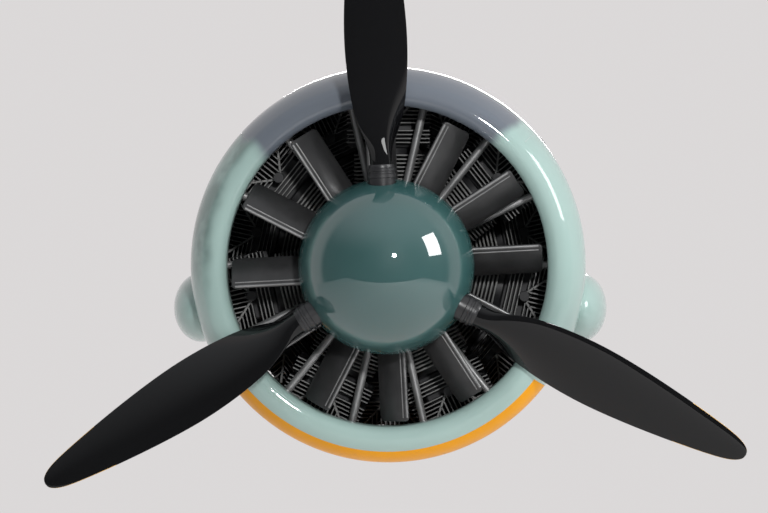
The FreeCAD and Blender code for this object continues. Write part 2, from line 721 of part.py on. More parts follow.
def pistons_and_rods():
    """Pistons at the middle of their stroke, and the rods that meet at each row's rod hub."""
    pistons = []
    for row_name, row, angles in (("front", FRONT_ROW, FRONT_ANGLES), ("rear", REAR_ROW, REAR_ANGLES)):
        top = "(piston_place + piston_height)"
        pin_height = "(piston_place + wrist_pin_height)"
        skirt = spoke(f"{row_name}_skirt", "(bore_radius - running_clearance)", "piston_place", top, row)
        hollow = spoke(f"{row_name}_hollow", "(bore_radius - piston_wall)", "piston_place",
                       f"({top} - piston_crown)", row)
        reach = "(bore_radius - piston_wall - wrist_pin_gap)"
        pin = rod(f"{row_name}_wrist_pin", "wrist_pin_radius", f"({row} - {reach})", f"({row} + {reach})",
                  z=pin_height)
        piston = cut(f"{row_name}_piston", skirt, hollow)
        pistons.append(ring_of(f"{row_name}_pistons", piston, angles))

        fore = f"({row} - rod_width / 2)"
        aft = f"({row} + rod_width / 2)"
        hub = rod(f"{row_name}_rod_hub", "rod_hub_radius", fore, aft)
        bar = block(f"{row_name}_rod_bar", "rod_thickness", "rod_width",
                    f"({pin_height} - rod_hub_radius + rod_root)", "0", row, "(rod_hub_radius - rod_root)")
        eye = rod(f"{row_name}_rod_eye", "(wrist_pin_radius + rod_eye_wall)", fore, aft, z=pin_height)
        pinned = fuse(f"{row_name}_pinned_rod", bar, eye, pin)
        space = rod(f"{row_name}_rod_bore", "rod_hub_bore", fore, aft)
        master = cut(f"{row_name}_master", fuse(f"{row_name}_master_whole", hub,
                     around(f"{row_name}_master_bar", pinned, angles[0])), space)
        node(f"{row_name}_master_rod", master)
        link = cut(f"{row_name}_link", pinned, rod(f"{row_name}_link_trim", "rod_hub_radius",
                   f"({row} - rod_width)", f"({row} + rod_width)"))
        node(f"{row_name}_link_rods", ring_of(f"{row_name}_link_rods", link, angles[1:]))
    node("pistons", together("pistons", *pistons))


def crankshaft():
    """The two-throw crankshaft, with its throws opposite each other and a collar for the fan."""
    members = [
        rod("shaft_nose", "shaft_radius", f"({HUB_FRONT} - nut_length)",
            f"({FRONT_ROW} - crankpin_length / 2)"),
        rod("shaft_centre", "shaft_radius", f"({FRONT_ROW} + crankpin_length / 2)",
            f"({REAR_ROW} - crankpin_length / 2)"),
        rod("shaft_tail", "shaft_radius", f"({REAR_ROW} + crankpin_length / 2)",
            f"({REAR_FACE} - shaft_end_gap)"),
        rod("shaft_collar", "shaft_collar_radius", FAN_WEB_BACK, f"({NOSE_FACE} - shaft_end_gap)"),
    ]
    for name, row, side in (("front", FRONT_ROW, ""), ("rear", REAR_ROW, "-")):
        fore = f"({row} - crankpin_length / 2)"
        aft = f"({row} + crankpin_length / 2)"
        members.append(rod(f"{name}_crankpin", "crankpin_radius", fore, aft, z=f"{side}throw_radius"))
        members.append(rod(f"{name}_fore_web", "web_radius", f"({fore} - web_thickness)", fore))
        members.append(rod(f"{name}_aft_web", "web_radius", aft, f"({aft} + web_thickness)"))
    node("crankshaft", fuse("crankshaft", *members))


def cam_plate(name, place):
    """A three-lobed cam plate that runs on the crankshaft."""
    start = f"({place} - cam_width / 2)"
    stop = f"({place} + cam_width / 2)"
    lobe = rod(name + "_lobe", "cam_lobe_radius", start, stop,
               z="(cam_radius + cam_lobe_lift - cam_lobe_radius)")
    hole = rod(name + "_hole", "cam_hole_radius", start, stop,
               z="((cam_radius + shaft_radius) / 2 + cam_hole_offset)")
    disc = fuse(name + "_disc", rod(name + "_rim", "cam_radius", start, stop),
                ring_of(name + "_lobes", lobe, CAM_LOBE_ANGLES))
    bore = rod(name + "_bore", "(shaft_radius + running_clearance)", start, stop)
    holes = ring_of(name + "_holes", hole, CAM_HOLE_ANGLES)
    node(name, cut(name, disc, fuse(name + "_openings", bore, holes)))


def cooling_fan():
    """The cooling fan: a cup-shaped hub on the shaft, with twelve cambered blades seated on its rim."""
    node("fan_hub", turned("fan_hub", [
        ("shaft_radius", FAN_FACE),
        ("fan_hub_radius", FAN_FACE),
        ("fan_hub_radius", f"{FAN_FACE} + fan_hub_length"),
        ("fan_hub_radius - fan_hub_wall", f"{FAN_FACE} + fan_hub_length"),
        ("fan_hub_radius - fan_hub_wall", FAN_WEB_BACK),
        ("shaft_radius", FAN_WEB_BACK),
    ]))
    blade = new_body("fan_blade")
    sketch = sketch_on(blade, "fan_blade_section")
    half = "fan_chord / 2"
    nose = "fan_blade_thickness / 2"
    edge = "fan_edge_thickness / 2"
    outline(sketch, [(f"-{half}", f"-{nose}"), (half, f"-{edge}"), (half, edge), (f"-{half}", nose)],
            {0: ("fan_camber_radius", -1), 2: ("fan_camber_radius + fan_blade_thickness", 1),
             3: ("fan_nose_radius", -1)})
    pad = blade.newObject("PartDesign::Pad", "fan_blade_span")
    pad.Profile = sketch
    pad.setExpression("Length", bound("fan_radius - fan_hub_radius + fan_root + cut_margin"))
    blade.Placement = FreeCAD.Placement(FreeCAD.Vector(), FreeCAD.Rotation(
        FreeCAD.Vector(0, 0, 1), DIMENSIONS["fan_pitch_angle"]))
    blade.setExpression("Placement.Base.z", bound("fan_hub_radius - fan_root"))
    blade.setExpression("Placement.Base.y", bound(f"{FAN_FACE} + fan_hub_length / 2"))
    back = f"({FAN_FACE} + fan_hub_length)"
    sweep = cut("fan_sweep", rod("fan_tip_circle", "fan_radius", FAN_FACE, back),
                rod("fan_root_circle", "fan_hub_radius", FAN_FACE, back))
    count = DIMENSIONS["fan_blades"]
    first = DIMENSIONS["fan_first_angle"]
    node("fan_blades", ring_of("fan_blades", common("fan_blade_trimmed", blade, sweep),
                               [first + number * 360 / count for number in range(count)]))


def spinner():
    """The spinner's backplate, and its thin dome with a hole for each blade."""
    node("spinner_backplate", cut("spinner_backplate",
         rod("backplate_disc", "spinner_radius", BACKPLATE_FACE, FAN_FACE),
         rod("backplate_bore", "shaft_radius", BACKPLATE_FACE, FAN_FACE)))
    forward = FreeCAD.Rotation(FreeCAD.Vector(1, 0, 0), 90)
    shells = []
    for name, less in (("outer", "0"), ("inner", "spinner_wall")):
        half = primitive("Ellipsoid", f"dome_{name}", forward, ("0", BACKPLATE_FACE, "0"),
                         Radius1=f"spinner_length - {less}", Radius2=f"spinner_radius - {less}",
                         Radius3=f"spinner_radius - {less}")
        half.Angle1 = 0
        shells.append(half)
    rim_front = f"({BACKPLATE_FACE} - spinner_rim_length)"
    rim = cut("dome_rim",
              rod("dome_rim_disc", "(spinner_radius - spinner_rim_inset)", rim_front, BACKPLATE_FACE),
              rod("dome_rim_bore", "(spinner_radius - spinner_rim)", rim_front, BACKPLATE_FACE))
    hole = spoke("blade_hole", "blade_hole_radius", "socket_reach", "(spinner_radius + cut_margin)",
                 BLADE_AXIS)
    shell = fuse("dome_shell", cut("dome_wall", *shells), rim)
    node("spinner_dome", cut("spinner_dome", shell, ring_of("blade_holes", hole, BLADE_ANGLES)))


def propeller_hub():
    """The hub that carries the blade shanks, the collars at their roots and the hub nut."""
    barrel = rod("hub_barrel", "hub_radius", HUB_FRONT, BACKPLATE_FACE)
    socket = spoke("hub_socket", "socket_radius", "0", "socket_reach", BLADE_AXIS)
    shank_hole = "(shank_radius + running_clearance)"
    bore = spoke("hub_shank_bore", shank_hole, "shank_start", "socket_reach", BLADE_AXIS)
    solid = fuse("hub_solid", barrel, ring_of("hub_sockets", socket, BLADE_ANGLES))
    shaft = rod("hub_shaft_bore", "shaft_radius", HUB_FRONT, BACKPLATE_FACE)
    node("propeller_hub", cut("propeller_hub", solid,
         fuse("hub_bores", shaft, ring_of("hub_shank_bores", bore, BLADE_ANGLES))))
    collar_end = "(spinner_radius + collar_length)"
    step_start = "(spinner_radius + collar_step_place)"
    outer = spoke("collar_outer", "collar_radius", "socket_reach", collar_end, BLADE_AXIS)
    step = spoke("collar_step", "(collar_radius + collar_step)", step_start,
                 f"({step_start} + collar_step_width)", BLADE_AXIS)
    inner = spoke("collar_inner", shank_hole, "socket_reach", collar_end, BLADE_AXIS)
    node("blade_collars", ring_of("blade_collars", cut("collar", fuse("collar_whole", outer, step), inner),
                                  BLADE_ANGLES))
    nut = primitive("Prism", "nut_hexagon", ALONG_SHAFT, ("0", f"({HUB_FRONT} - nut_length)", "0"),
                    Circumradius="nut_radius", Height="nut_length")
    nut.Polygon = 6
    node("propeller_nut", cut("propeller_nut", nut,
         rod("nut_bore", "shaft_radius", f"({HUB_FRONT} - nut_length)", HUB_FRONT)))


# Blade sections: share of the way from shank to tip, share of the widest chord, share of the
# root's thickness, and pitch in degrees.
BLADE_SECTIONS = [
    (0.000, 0.33, 1.76, 50),
    (0.040, 0.40, 1.50, 48),
    (0.080, 0.60, 1.18, 44),
    (0.147, 0.84, 1.02, 38),
    (0.213, 0.93, 0.94, 34),
    (0.300, 0.99, 0.86, 30),
    (0.413, 1.00, 0.74, 26),
    (0.520, 0.93, 0.62, 23),
    (0.630, 0.83, 0.52, 21),
    (0.760, 0.68, 0.42, 19),
    (0.880, 0.51, 0.32, 17.5),
    (0.940, 0.40, 0.26, 17),
    (0.975, 0.28, 0.21, 16.5),
    (1.000, 0.07, 0.12, 16),
]


# The front face's share of a section's thickness, and how far the fullest place lies ahead of
# the middle, as a share of the chord.
FRONT_FULLNESS = 0.62
FULLEST_LEAD = 0.06


def blade_section(height, chord, thickness, pitch):
    """One closed section of a blade that points up: two arcs that meet at the leading and
    trailing edges, with the fuller side towards -Y."""
    along = FreeCAD.Vector(-math.cos(math.radians(pitch)), -math.sin(math.radians(pitch)), 0)
    across = FreeCAD.Vector(math.sin(math.radians(pitch)), -math.cos(math.radians(pitch)), 0)
    centre = FreeCAD.Vector(0, 0, height)
    lead = centre + along * chord / 2
    trail = centre - along * chord / 2
    fullest = centre + along * chord * FULLEST_LEAD
    front = fullest + across * thickness * FRONT_FULLNESS
    back = fullest - across * thickness * (1 - FRONT_FULLNESS)
    return Part.Wire([Part.Arc(lead, front, trail).toShape(), Part.Arc(trail, back, lead).toShape()])


def blade_master():
    """One propeller blade that points up, with its round shank."""
    start = value("spinner_radius + collar_length + blade_gap")
    reach = value("propeller_radius") - start
    widest = value("blade_chord")
    thick = value("blade_thickness")
    wires = [blade_section(start + share * reach, chord * widest, thickness * thick, pitch)
             for share, chord, thickness, pitch in BLADE_SECTIONS]
    vane = Part.makeLoft(wires, True, False)
    foot = value("shank_start")
    shank = Part.makeCylinder(value("shank_radius"), start + value("shank_overlap") - foot,
                              FreeCAD.Vector(0, 0, foot))
    made = doc.addObject("Part::Feature", "blade_master")
    made.Shape = vane.fuse(shank)
    made.setExpression("Placement.Base.y", bound(BLADE_AXIS))
    return made


def blades():
    """The three propeller blades."""
    master = blade_master()
    for number, angle in enumerate(BLADE_ANGLES, 1):
        node(f"blade_{number}", around(f"blade_{number}", master, angle))


def cowl_sector(name, end, sweep):
    """One cowl panel: the part of the cowl's shell over a sweep that ends at an angle."""
    body = turned(name + "_shell", [
        ("ring_edge_radius", COWL_JOINT),
        ("cowl_radius", SHOULDER),
        ("cowl_radius", TAPER_START),
        ("cowl_rear_radius", COWL_REAR),
        ("cowl_rear_radius - cowl_wall", COWL_REAR),
        ("cowl_radius - cowl_wall", TAPER_START),
        ("cowl_radius - cowl_wall", SHOULDER),
        ("ring_edge_radius - cowl_wall", COWL_JOINT),
    ], {0: ("shoulder_curve", -1), 6: ("shoulder_curve - cowl_wall", 1)}, sweep)
    body.Placement = FreeCAD.Placement(FreeCAD.Vector(), FreeCAD.Rotation(FreeCAD.Vector(0, 1, 0), -end))
    return body


def cowl_ring():
    """The nose ring, whose lip rolls back into the opening."""
    lip_back = f"{COWL_JOINT} + lip_depth"
    node("cowl_nose_ring", turned("cowl_nose_ring", [
        ("lip_radius", lip_back),
        ("lip_radius", COWL_JOINT),
        ("crest_radius", CREST),
        ("ring_edge_radius", COWL_JOINT),
        ("ring_edge_radius - cowl_wall", COWL_JOINT),
        ("crest_radius", f"{CREST} + cowl_wall"),
        ("lip_radius + cowl_wall", COWL_JOINT),
        ("lip_radius + cowl_wall", lip_back),
    ], {1: ("lip_front_curve", -1), 2: ("lip_outer_curve", -1),
        4: ("lip_outer_curve - cowl_wall", 1), 5: ("lip_front_curve - cowl_wall", 1)}))


def side_fairings():
    """The two blister fairings on the cowl's sides, trimmed to its outside."""
    form = turned("cowl_form", [
        ("0", COWL_JOINT),
        ("ring_edge_radius", COWL_JOINT),
        ("cowl_radius", SHOULDER),
        ("cowl_radius", TAPER_START),
        ("cowl_rear_radius", COWL_REAR),
        ("0", COWL_REAR),
    ], {1: ("shoulder_curve", -1)})
    shells = []
    for way, sign in (("left", "-"), ("right", "")):
        place = (f"{sign}(cowl_radius - fairing_sink)", f"({SHOULDER} + fairing_setback)", "-fairing_drop")
        skins = [primitive("Ellipsoid", f"{way}_fairing_{name}", UPRIGHT, place,
                           Radius1=f"fairing_half_height - {less}",
                           Radius2=f"fairing_reach + fairing_sink / 2 - {less}",
                           Radius3=f"fairing_half_length - {less}")
                 for name, less in (("outer", "0"), ("inner", "cowl_wall"))]
        shells.append(cut(f"{way}_fairing", skins[0], fuse(f"{way}_fairing_space", skins[1], form)))
    node("side_fairings", together("side_fairings", *shells))


def cowl():
    """The cowl: nose ring, fairings, brackets on the heads, panel screws and the four panels."""
    cowl_ring()
    side_fairings()
    taper = f"taper_drop * ({REAR_ROW} - {TAPER_START}) / taper_length"
    screws = []
    brackets = []
    for row_name, row, skin, angles in (("front", FRONT_ROW, "cowl_radius", FRONT_ANGLES),
                                        ("rear", REAR_ROW, f"(cowl_radius - {taper})", REAR_ANGLES)):
        top = f"({skin} - cowl_wall - bracket_clearance)"
        shank = spoke(f"{row_name}_screw_shank", "screw_radius", f"({skin} - screw_length)", skin, row)
        head = spoke(f"{row_name}_screw_head", "screw_head_radius", skin, f"({skin} + screw_head_height)",
                     row)
        post = block(f"{row_name}_post", "bracket_width", "bracket_width", f"({top} - head_top)",
                     "0", row, "head_top")
        brackets.append(ring_of(f"{row_name}_brackets", cut(f"{row_name}_bracket", post, shank), angles))
        screws.append(ring_of(f"{row_name}_screws", fuse(f"{row_name}_screw", shank, head), angles))
    screws = together("panel_screws", *screws)
    node("cowl_brackets", together("cowl_brackets", *brackets))
    node("panel_screws", screws)

    edges = {
        "right": ("(lower_panel_end_angle - 360)", "top_panel_start_angle"),
        "top": ("top_panel_start_angle", "top_panel_end_angle"),
        "left": ("top_panel_end_angle", "lower_panel_start_angle"),
        "lower": ("lower_panel_start_angle", "lower_panel_end_angle"),
    }
    for side, (start, end) in edges.items():
        panel = cowl_sector(side + "_panel", value(end), f"{end} - {start}")
        node(f"{side}_cowl_panel", cut(f"{side}_cowl_panel", panel, screws))


def carburettor():
    """The carburettor body, its throttle barrel and the arm that turns it."""
    place = f"({CARB_FRONT} + carb_length / 2)"
    half = "(carb_boss_length / 2)"

    arm_start = f"({half} + arm_gap)"

    def across(name, radius, start, end, height="0"):
        return primitive("Cylinder", name, ALONG_X, (start, place, height), Radius=radius,
                         Height=f"{end} - ({start})")

    body = fuse("carb_solid", rod("carb_tube", "carb_radius", CARB_FRONT, CARB_BACK),
                across("carb_boss", "carb_boss_radius", f"-{half}", half))
    ways = fuse("carb_ways", rod("carb_way", "carb_bore", CARB_FRONT, CARB_BACK),
                rod("carb_mouth", "carb_mouth_radius", f"({CARB_BACK} - carb_mouth_depth)", CARB_BACK),
                across("carb_cross_way", "(throttle_radius + running_clearance)", f"-{half}", half))
    node("carburettor", cut("carburettor", body, ways))
    barrel = across("barrel_solid", "throttle_radius", f"-{half}", arm_start)
    way = rod("barrel_way", "carb_bore", CARB_FRONT, CARB_BACK)
    node("throttle_barrel", cut("throttle_barrel", barrel, way))
    arm_end = f"({arm_start} + arm_thickness)"
    plate = primitive("Box", "arm_plate", UPRIGHT, (arm_start, f"{place} - arm_width / 2", "0"),
                      Length="arm_thickness", Width="arm_width", Height="arm_length")
    root = across("arm_root", "arm_width / 2 + arm_root_margin", arm_start, arm_end)
    tip = across("arm_tip", "arm_width / 2", arm_start, arm_end, "arm_length")
    hole = across("arm_hole", "arm_hole_radius", arm_start, arm_end, "arm_length")
    node("throttle_arm", cut("throttle_arm", fuse("arm_solid", plate, root, tip), hole))


def build():
    """Makes every piece in order."""
    mount()
    crankcase()
    cylinders()
    pushes = [valve_gear("front", FRONT_ROW, FRONT_PUSHRODS, -1, FRONT_ANGLES),
              valve_gear("rear", REAR_ROW, REAR_PUSHRODS, 1, REAR_ANGLES)]
    node("pushrods", together("pushrods", *pushes))
    plugs_and_pipes()
    pistons_and_rods()
    crankshaft()
    cam_plate("front_cam_plate", FRONT_PUSHRODS)
    cam_plate("rear_cam_plate", REAR_PUSHRODS)
    cooling_fan()
    spinner()
    propeller_hub()
    blades()
    cowl()
    carburettor()


def check():
    """Stops where an object failed to recompute or a piece has no sound shape."""
    failed = [item.Name for item in doc.Objects if "Invalid" in item.State or "Error" in item.State]
    if failed:
        raise SystemExit(f"These objects failed: {failed}")
    for made in NODES:
        if made.Shape.isNull() or not made.Shape.isValid() or not made.Shape.Solids:
            raise SystemExit(f"{made.Label} has no sound shape")


build()
doc.recompute()
check()
os.makedirs("parts", exist_ok=True)
for made in NODES:
    made.Shape.exportStep(f"parts/{made.Label}.step")
print(len(NODES), "pieces written")
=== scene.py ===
import logging
import math
from collections.abc import Callable, Iterable, Sequence
from dataclasses import dataclass, field
from enum import Enum

import bmesh
import bpy
from mathutils import Matrix, Vector


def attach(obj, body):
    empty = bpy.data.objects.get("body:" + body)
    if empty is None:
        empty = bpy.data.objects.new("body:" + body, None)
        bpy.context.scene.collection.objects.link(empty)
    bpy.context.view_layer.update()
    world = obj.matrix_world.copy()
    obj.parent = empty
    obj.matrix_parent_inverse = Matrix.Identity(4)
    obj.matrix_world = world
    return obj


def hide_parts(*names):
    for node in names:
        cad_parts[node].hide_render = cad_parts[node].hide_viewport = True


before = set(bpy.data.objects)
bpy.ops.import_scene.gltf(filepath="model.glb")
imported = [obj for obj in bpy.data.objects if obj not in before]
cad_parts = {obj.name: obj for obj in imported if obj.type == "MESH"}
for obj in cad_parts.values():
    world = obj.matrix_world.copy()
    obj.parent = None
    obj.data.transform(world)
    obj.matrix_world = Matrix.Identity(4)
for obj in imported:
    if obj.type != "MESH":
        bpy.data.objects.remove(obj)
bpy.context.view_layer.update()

log = logging.getLogger("radial_engine")

Corner = tuple[float, float]
Colour = tuple[float, float, float]
Socket = bpy.types.NodeSocket

FULL_TURN = 2 * math.pi
ROW_CYLINDERS = 7
ROW_STEP = 360 / ROW_CYLINDERS
FRONT_ANGLES = [90 + number * ROW_STEP for number in range(ROW_CYLINDERS)]
REAR_ANGLES = [angle + ROW_STEP / 2 for angle in FRONT_ANGLES]
BLADE_ANGLES = [92.5 + number * 120 for number in range(3)]


class Body(Enum):
    """The moving groups of the engine."""

    ENGINE = "engine"
    DRIVE = "propeller_drive"
    FIRST_BLADE = "first_blade"
    SECOND_BLADE = "second_blade"
    THIRD_BLADE = "third_blade"


class Slot(Enum):
    """The record's material slots."""

    COWL = "cowl_paint"
    SPINNER = "spinner_paint"
    BLADE = "blade_black"
    FAN = "fan_grey"
    FINS = "finned_metal"
    ENAMEL = "black_enamel"


class NodeKit:
    """Builds the nodes of one tree, around a socket that gives the place."""

    def __init__(self, tree: bpy.types.NodeTree, coordinates: str) -> None:
        """Starts with a tree.

        Args:
            tree: the node tree.
            coordinates: which output of Texture Coordinate gives the place.
        """
        self.tree = tree
        self.place = tree.nodes.new("ShaderNodeTexCoord").outputs[coordinates]

    def node(self, kind: str, settings: dict | None = None, **inputs: object) -> bpy.types.Node:
        """Adds a node.

        Args:
            kind: the node's type without its ShaderNode prefix.
            settings: properties of the node.
            inputs: values or sockets for its inputs, with _ for a space, or in_N for a number.

        Returns:
            The node.
        """
        made = self.tree.nodes.new("ShaderNode" + kind)
        for key, value in (settings or {}).items():
            setattr(made, key, value)
        for key, value in inputs.items():
            numbered = key.startswith("in_")
            socket = made.inputs[int(key[3:]) if numbered else key.replace("_", " ")]
            if isinstance(value, Socket):
                self.tree.links.new(value, socket)
            elif isinstance(value, tuple) and socket.type == "RGBA":
                socket.default_value = (*value, 1)
            else:
                socket.default_value = value
        return made

    def combine(self, operation: str, first: Socket | float, second: Socket | float = 0.0) -> Socket:
        """Works out one number from two with a Math node, and gives its socket."""
        return self.node("Math", {"operation": operation}, in_0=first, in_1=second).outputs[0]

    def noise(self, scale: float, detail: float = 2.0, rough: float = 0.5) -> Socket:
        """Gives a noise pattern's value, scale counted per metre."""
        return self.node("TexNoise", None, Vector=self.place, Scale=scale, Detail=detail,
                         Roughness=rough).outputs["Fac"]

    def step(self, value: Socket, low: float, high: float, to_low: float = 0.0,
             to_high: float = 1.0) -> Socket:
        """Maps a value smoothly from between low and high to between to_low and to_high."""
        return self.node("MapRange", {"interpolation_type": "SMOOTHSTEP"}, Value=value, in_1=low, in_2=high,
                         in_3=to_low, in_4=to_high).outputs[0]

    def mix(self, share: Socket | float, first: Socket | Colour, second: Socket | Colour) -> Socket:
        """Mixes two colours.

        Args:
            share: the second colour's share.
            first: the colour where share is 0.
            second: the colour where share is 1.

        Returns:
            The mixed colour's socket.
        """
        made = self.node("Mix", {"data_type": "RGBA"}, in_0=share)
        for index, colour in ((6, first), (7, second)):
            if isinstance(colour, Socket):
                self.tree.links.new(colour, made.inputs[index])
            else:
                made.inputs[index].default_value = (*colour, 1)
        return made.outputs[2]

    def blend(self, share: Socket, first: Socket, second: Socket, end: str) -> None:
        """Mixes two shaders, share of the second one, and links them to the tree's end node.

        Args:
            share: the second shader's share.
            first: the shader where share is 0.
            second: the shader where share is 1.
            end: the end node's name.
        """
        made = self.node("MixShader", None, in_0=share, in_1=first, in_2=second)
        self.tree.links.new(made.outputs[0], self.tree.nodes[end].inputs[0])


class Painter(NodeKit):
    """Builds one node material around a Principled shader, in the piece's own coordinates."""

    def __init__(self, name: str, **values: float | Colour) -> None:
        """Starts a material.

        Args:
            name: the material's name.
            values: settings of the shader's own sockets, with _ for a space.
        """
        self.material = bpy.data.materials.new(name)
        self.material.use_nodes = True
        super().__init__(self.material.node_tree, "Object")
        self.shader = self.tree.nodes["Principled BSDF"]
        for key, value in values.items():
            socket = self.shader.inputs[key.replace("_", " ")]
            socket.default_value = (*value, 1) if isinstance(value, tuple) else value

    def paint(self, **sockets: Socket) -> None:
        """Links sockets to the shader's inputs, with _ for a space."""
        for key, socket in sockets.items():
            self.tree.links.new(socket, self.shader.inputs[key.replace("_", " ")])

    def bump(self, height: Socket, distance: float, strength: float = 1.0) -> None:
        """Roughens the surface by a height pattern, distance in metres."""
        made = self.node("Bump", None, Height=height, Distance=distance, Strength=strength)
        self.paint(Normal=made.outputs[0])


@dataclass(frozen=True)
class GlossPaint:
    """Clear-coated paint with a faint orange peel and dust."""

    name: str
    colour: Colour
    rough: float = 0.32
    peel: float = 0.000004
    under: float = 0.5
    clear: float = 1.0
    coat: float = 1.5

    def build(self) -> bpy.types.Material:
        """Gives the material."""
        kit = Painter(self.name, Roughness=self.rough, Specular_IOR_Level=self.under,
                      Coat_Weight=self.clear, Coat_Roughness=0.008, Coat_IOR=self.coat)
        tone = kit.step(kit.noise(9, 4), 0.3, 0.7)
        darker = tuple(part * 0.9 for part in self.colour)
        kit.paint(Base_Color=kit.mix(tone, darker, self.colour))
        kit.bump(kit.noise(260, 2), self.peel)
        return kit.material


@dataclass(frozen=True)
class CowlPaint:
    """Clear-coated blue-green paint with sprayed dark top and mottles."""

    name: str = "cowl_airbrushed_paint"
    base: Colour = (0.36, 0.50, 0.465)
    dark: Colour = (0.135, 0.155, 0.185)
    mottle: Colour = (0.12, 0.18, 0.165)
    top_start: float = 47.0
    top_end: float = 139.0
    top_edge: float = 3.0
    top_wander: float = 34.0
    outside_from: float = 0.176
    outside_to: float = 0.190
    outside_wander: float = 0.05
    left_from: float = -0.10
    left_to: float = -0.15
    high_from: float = -0.06
    high_to: float = 0.03
    blot_share: float = 0.8
    peel: float = 0.000004

    def build(self) -> bpy.types.Material:
        """Gives the material."""
        kit = Painter(self.name, Roughness=0.5, Specular_IOR_Level=0.2, Coat_Weight=1.0, Coat_Roughness=0.008)
        split = kit.node("SeparateXYZ", None, Vector=kit.place)
        sideways, upwards = split.outputs[0], split.outputs[2]
        angle = kit.combine("DEGREES", kit.combine("ARCTAN2", upwards, sideways))
        bent = kit.combine("ADD", angle, self.wander(kit, 11, self.top_wander))
        rising = kit.step(bent, self.top_start - self.top_edge, self.top_start + self.top_edge)
        falling = kit.step(bent, self.top_end - self.top_edge, self.top_end + self.top_edge, 1.0, 0.0)
        top = kit.combine("MULTIPLY", rising, falling)
        across = kit.combine("SQRT", kit.combine("ADD", kit.combine("POWER", sideways, 2.0),
                                                 kit.combine("POWER", upwards, 2.0)))
        outside = kit.step(kit.combine("ADD", across, self.wander(kit, 14, self.outside_wander)),
                           self.outside_from, self.outside_to)
        left = kit.step(sideways, self.left_from, self.left_to)
        high = kit.step(upwards, self.high_from, self.high_to)
        cloud = kit.step(kit.noise(20, 3, 0.55), 0.38, 0.6, 0.25, 1.0)
        spread = kit.combine("MULTIPLY", kit.combine("MULTIPLY", left, high), cloud)
        blots = kit.combine("MULTIPLY", kit.combine("MULTIPLY", spread, outside), self.blot_share)
        darker = tuple(part * 0.93 for part in self.base)
        tone = kit.mix(kit.step(kit.noise(6, 3), 0.3, 0.7), darker, self.base)
        blotted = kit.mix(blots, tone, self.mottle)
        kit.paint(Base_Color=kit.mix(top, blotted, self.dark))
        kit.bump(kit.noise(240, 2), self.peel)
        return kit.material

    def wander(self, kit: Painter, scale: float, reach: float) -> Socket:
        """Gives a noise pattern centred on zero, reach from end to end."""
        return kit.combine("MULTIPLY", kit.combine("SUBTRACT", kit.noise(scale, 2), 0.5), reach)


@dataclass(frozen=True)
class Metal:
    """Bare or blackened metal with fine grain and smudges."""

    name: str
    colour: Colour
    rough: float
    metallic: float = 1.0
    grain: float = 900.0
    depth: float = 0.00003

    def build(self) -> bpy.types.Material:
        """Gives the material."""
        kit = Painter(self.name, Metallic=self.metallic)
        smudge = kit.step(kit.noise(40, 4, 0.6), 0.3, 0.7)
        darker = tuple(part * 0.72 for part in self.colour)
        kit.paint(Base_Color=kit.mix(smudge, darker, self.colour),
                  Roughness=kit.step(kit.noise(70, 3), 0.25, 0.75, self.rough * 0.8,
                                     min(1.0, self.rough * 1.25)))
        kit.bump(kit.noise(self.grain, 3), self.depth)
        return kit.material


@dataclass
class Palette:
    """Every finish of the engine, made once."""

    made: dict[str, bpy.types.Material] = field(default_factory=dict)

    def get(self, finish: GlossPaint | CowlPaint | Metal) -> bpy.types.Material:
        """Gives a finish's material, and builds it at its first use.

        Args:
            finish: the finish.

        Returns:
            Its material.
        """
        if finish.name not in self.made:
            self.made[finish.name] = finish.build()
        return self.made[finish.name]


COWL = CowlPaint()
ORANGE = GlossPaint("cowl_orange_paint", (0.87, 0.36, 0.003), under=0.06, clear=0.06)
TEAL = GlossPaint("spinner_teal_paint", (0.028, 0.090, 0.088), 0.5, under=0.2, coat=1.8)
BLADE_BLACK = GlossPaint("blade_black_paint", (0.004, 0.004, 0.0045), under=0.0, coat=1.4)
TIP_YELLOW = GlossPaint("blade_tip_yellow", (0.62, 0.33, 0.03))
FAN_GREY = Metal("fan_dark_paint", (0.046, 0.046, 0.047), 0.42, 0.2, 500)
# Lighter colour on the fan blades' rounded noses and beads: painted highlight along the leading edges.
FAN_HIGHLIGHT_EDGE = Metal("fan_edge_painted_highlight", (0.26, 0.26, 0.26), 0.42, 0.7)
FIN_BLACK = Metal("fin_black_paint", (0.018, 0.018, 0.020), 0.5, 0.1, 700)
FIN_EDGE = Metal("fin_bare_edge", (0.24, 0.24, 0.235), 0.6, 0.1)
TUBE_METAL = Metal("pushrod_tube_metal", (0.36, 0.36, 0.36), 0.42, 0.6)
BRIGHT_STEEL = Metal("ground_steel", (0.50, 0.50, 0.52), 0.28)
CAST_GREY = Metal("cast_case_metal", (0.22, 0.22, 0.23), 0.52, 0.9, 420, 0.00012)
DARK_ENAMEL = Metal("dark_enamel", (0.022, 0.022, 0.024), 0.38, 0.0, 500)
HEAT_STEEL = Metal("heat_stained_steel", (0.26, 0.21, 0.17), 0.42)
PALETTE = Palette()


def arc(start: Corner, stop: Corner, radius: float, side: int, count: int) -> list[Corner]:
    """Gives the points of a short arc between two corners, without the last one.

    Args:
        start: the first corner.
        stop: the corner that the arc leads to.
        radius: the arc's radius.
        side: 1 to bulge left of the way, -1 to bulge right.
        count: how many pieces the arc has.

    Returns:
        The points from start to just before stop.
    """
    first, last = Vector(start), Vector(stop)
    chord = last - first
    left = Vector((-chord.y, chord.x)).normalized()
    rise = math.sqrt(max(radius**2 - (chord.length / 2) ** 2, 0.0))
    centre = (first + last) / 2 - left * side * rise
    begin = math.atan2(first.y - centre.y, first.x - centre.x)
    turn = -side * 2 * math.asin(min(1.0, chord.length / 2 / radius))
    return [(centre.x + radius * math.cos(begin + turn * step / count),
             centre.y + radius * math.sin(begin + turn * step / count)) for step in range(count)]


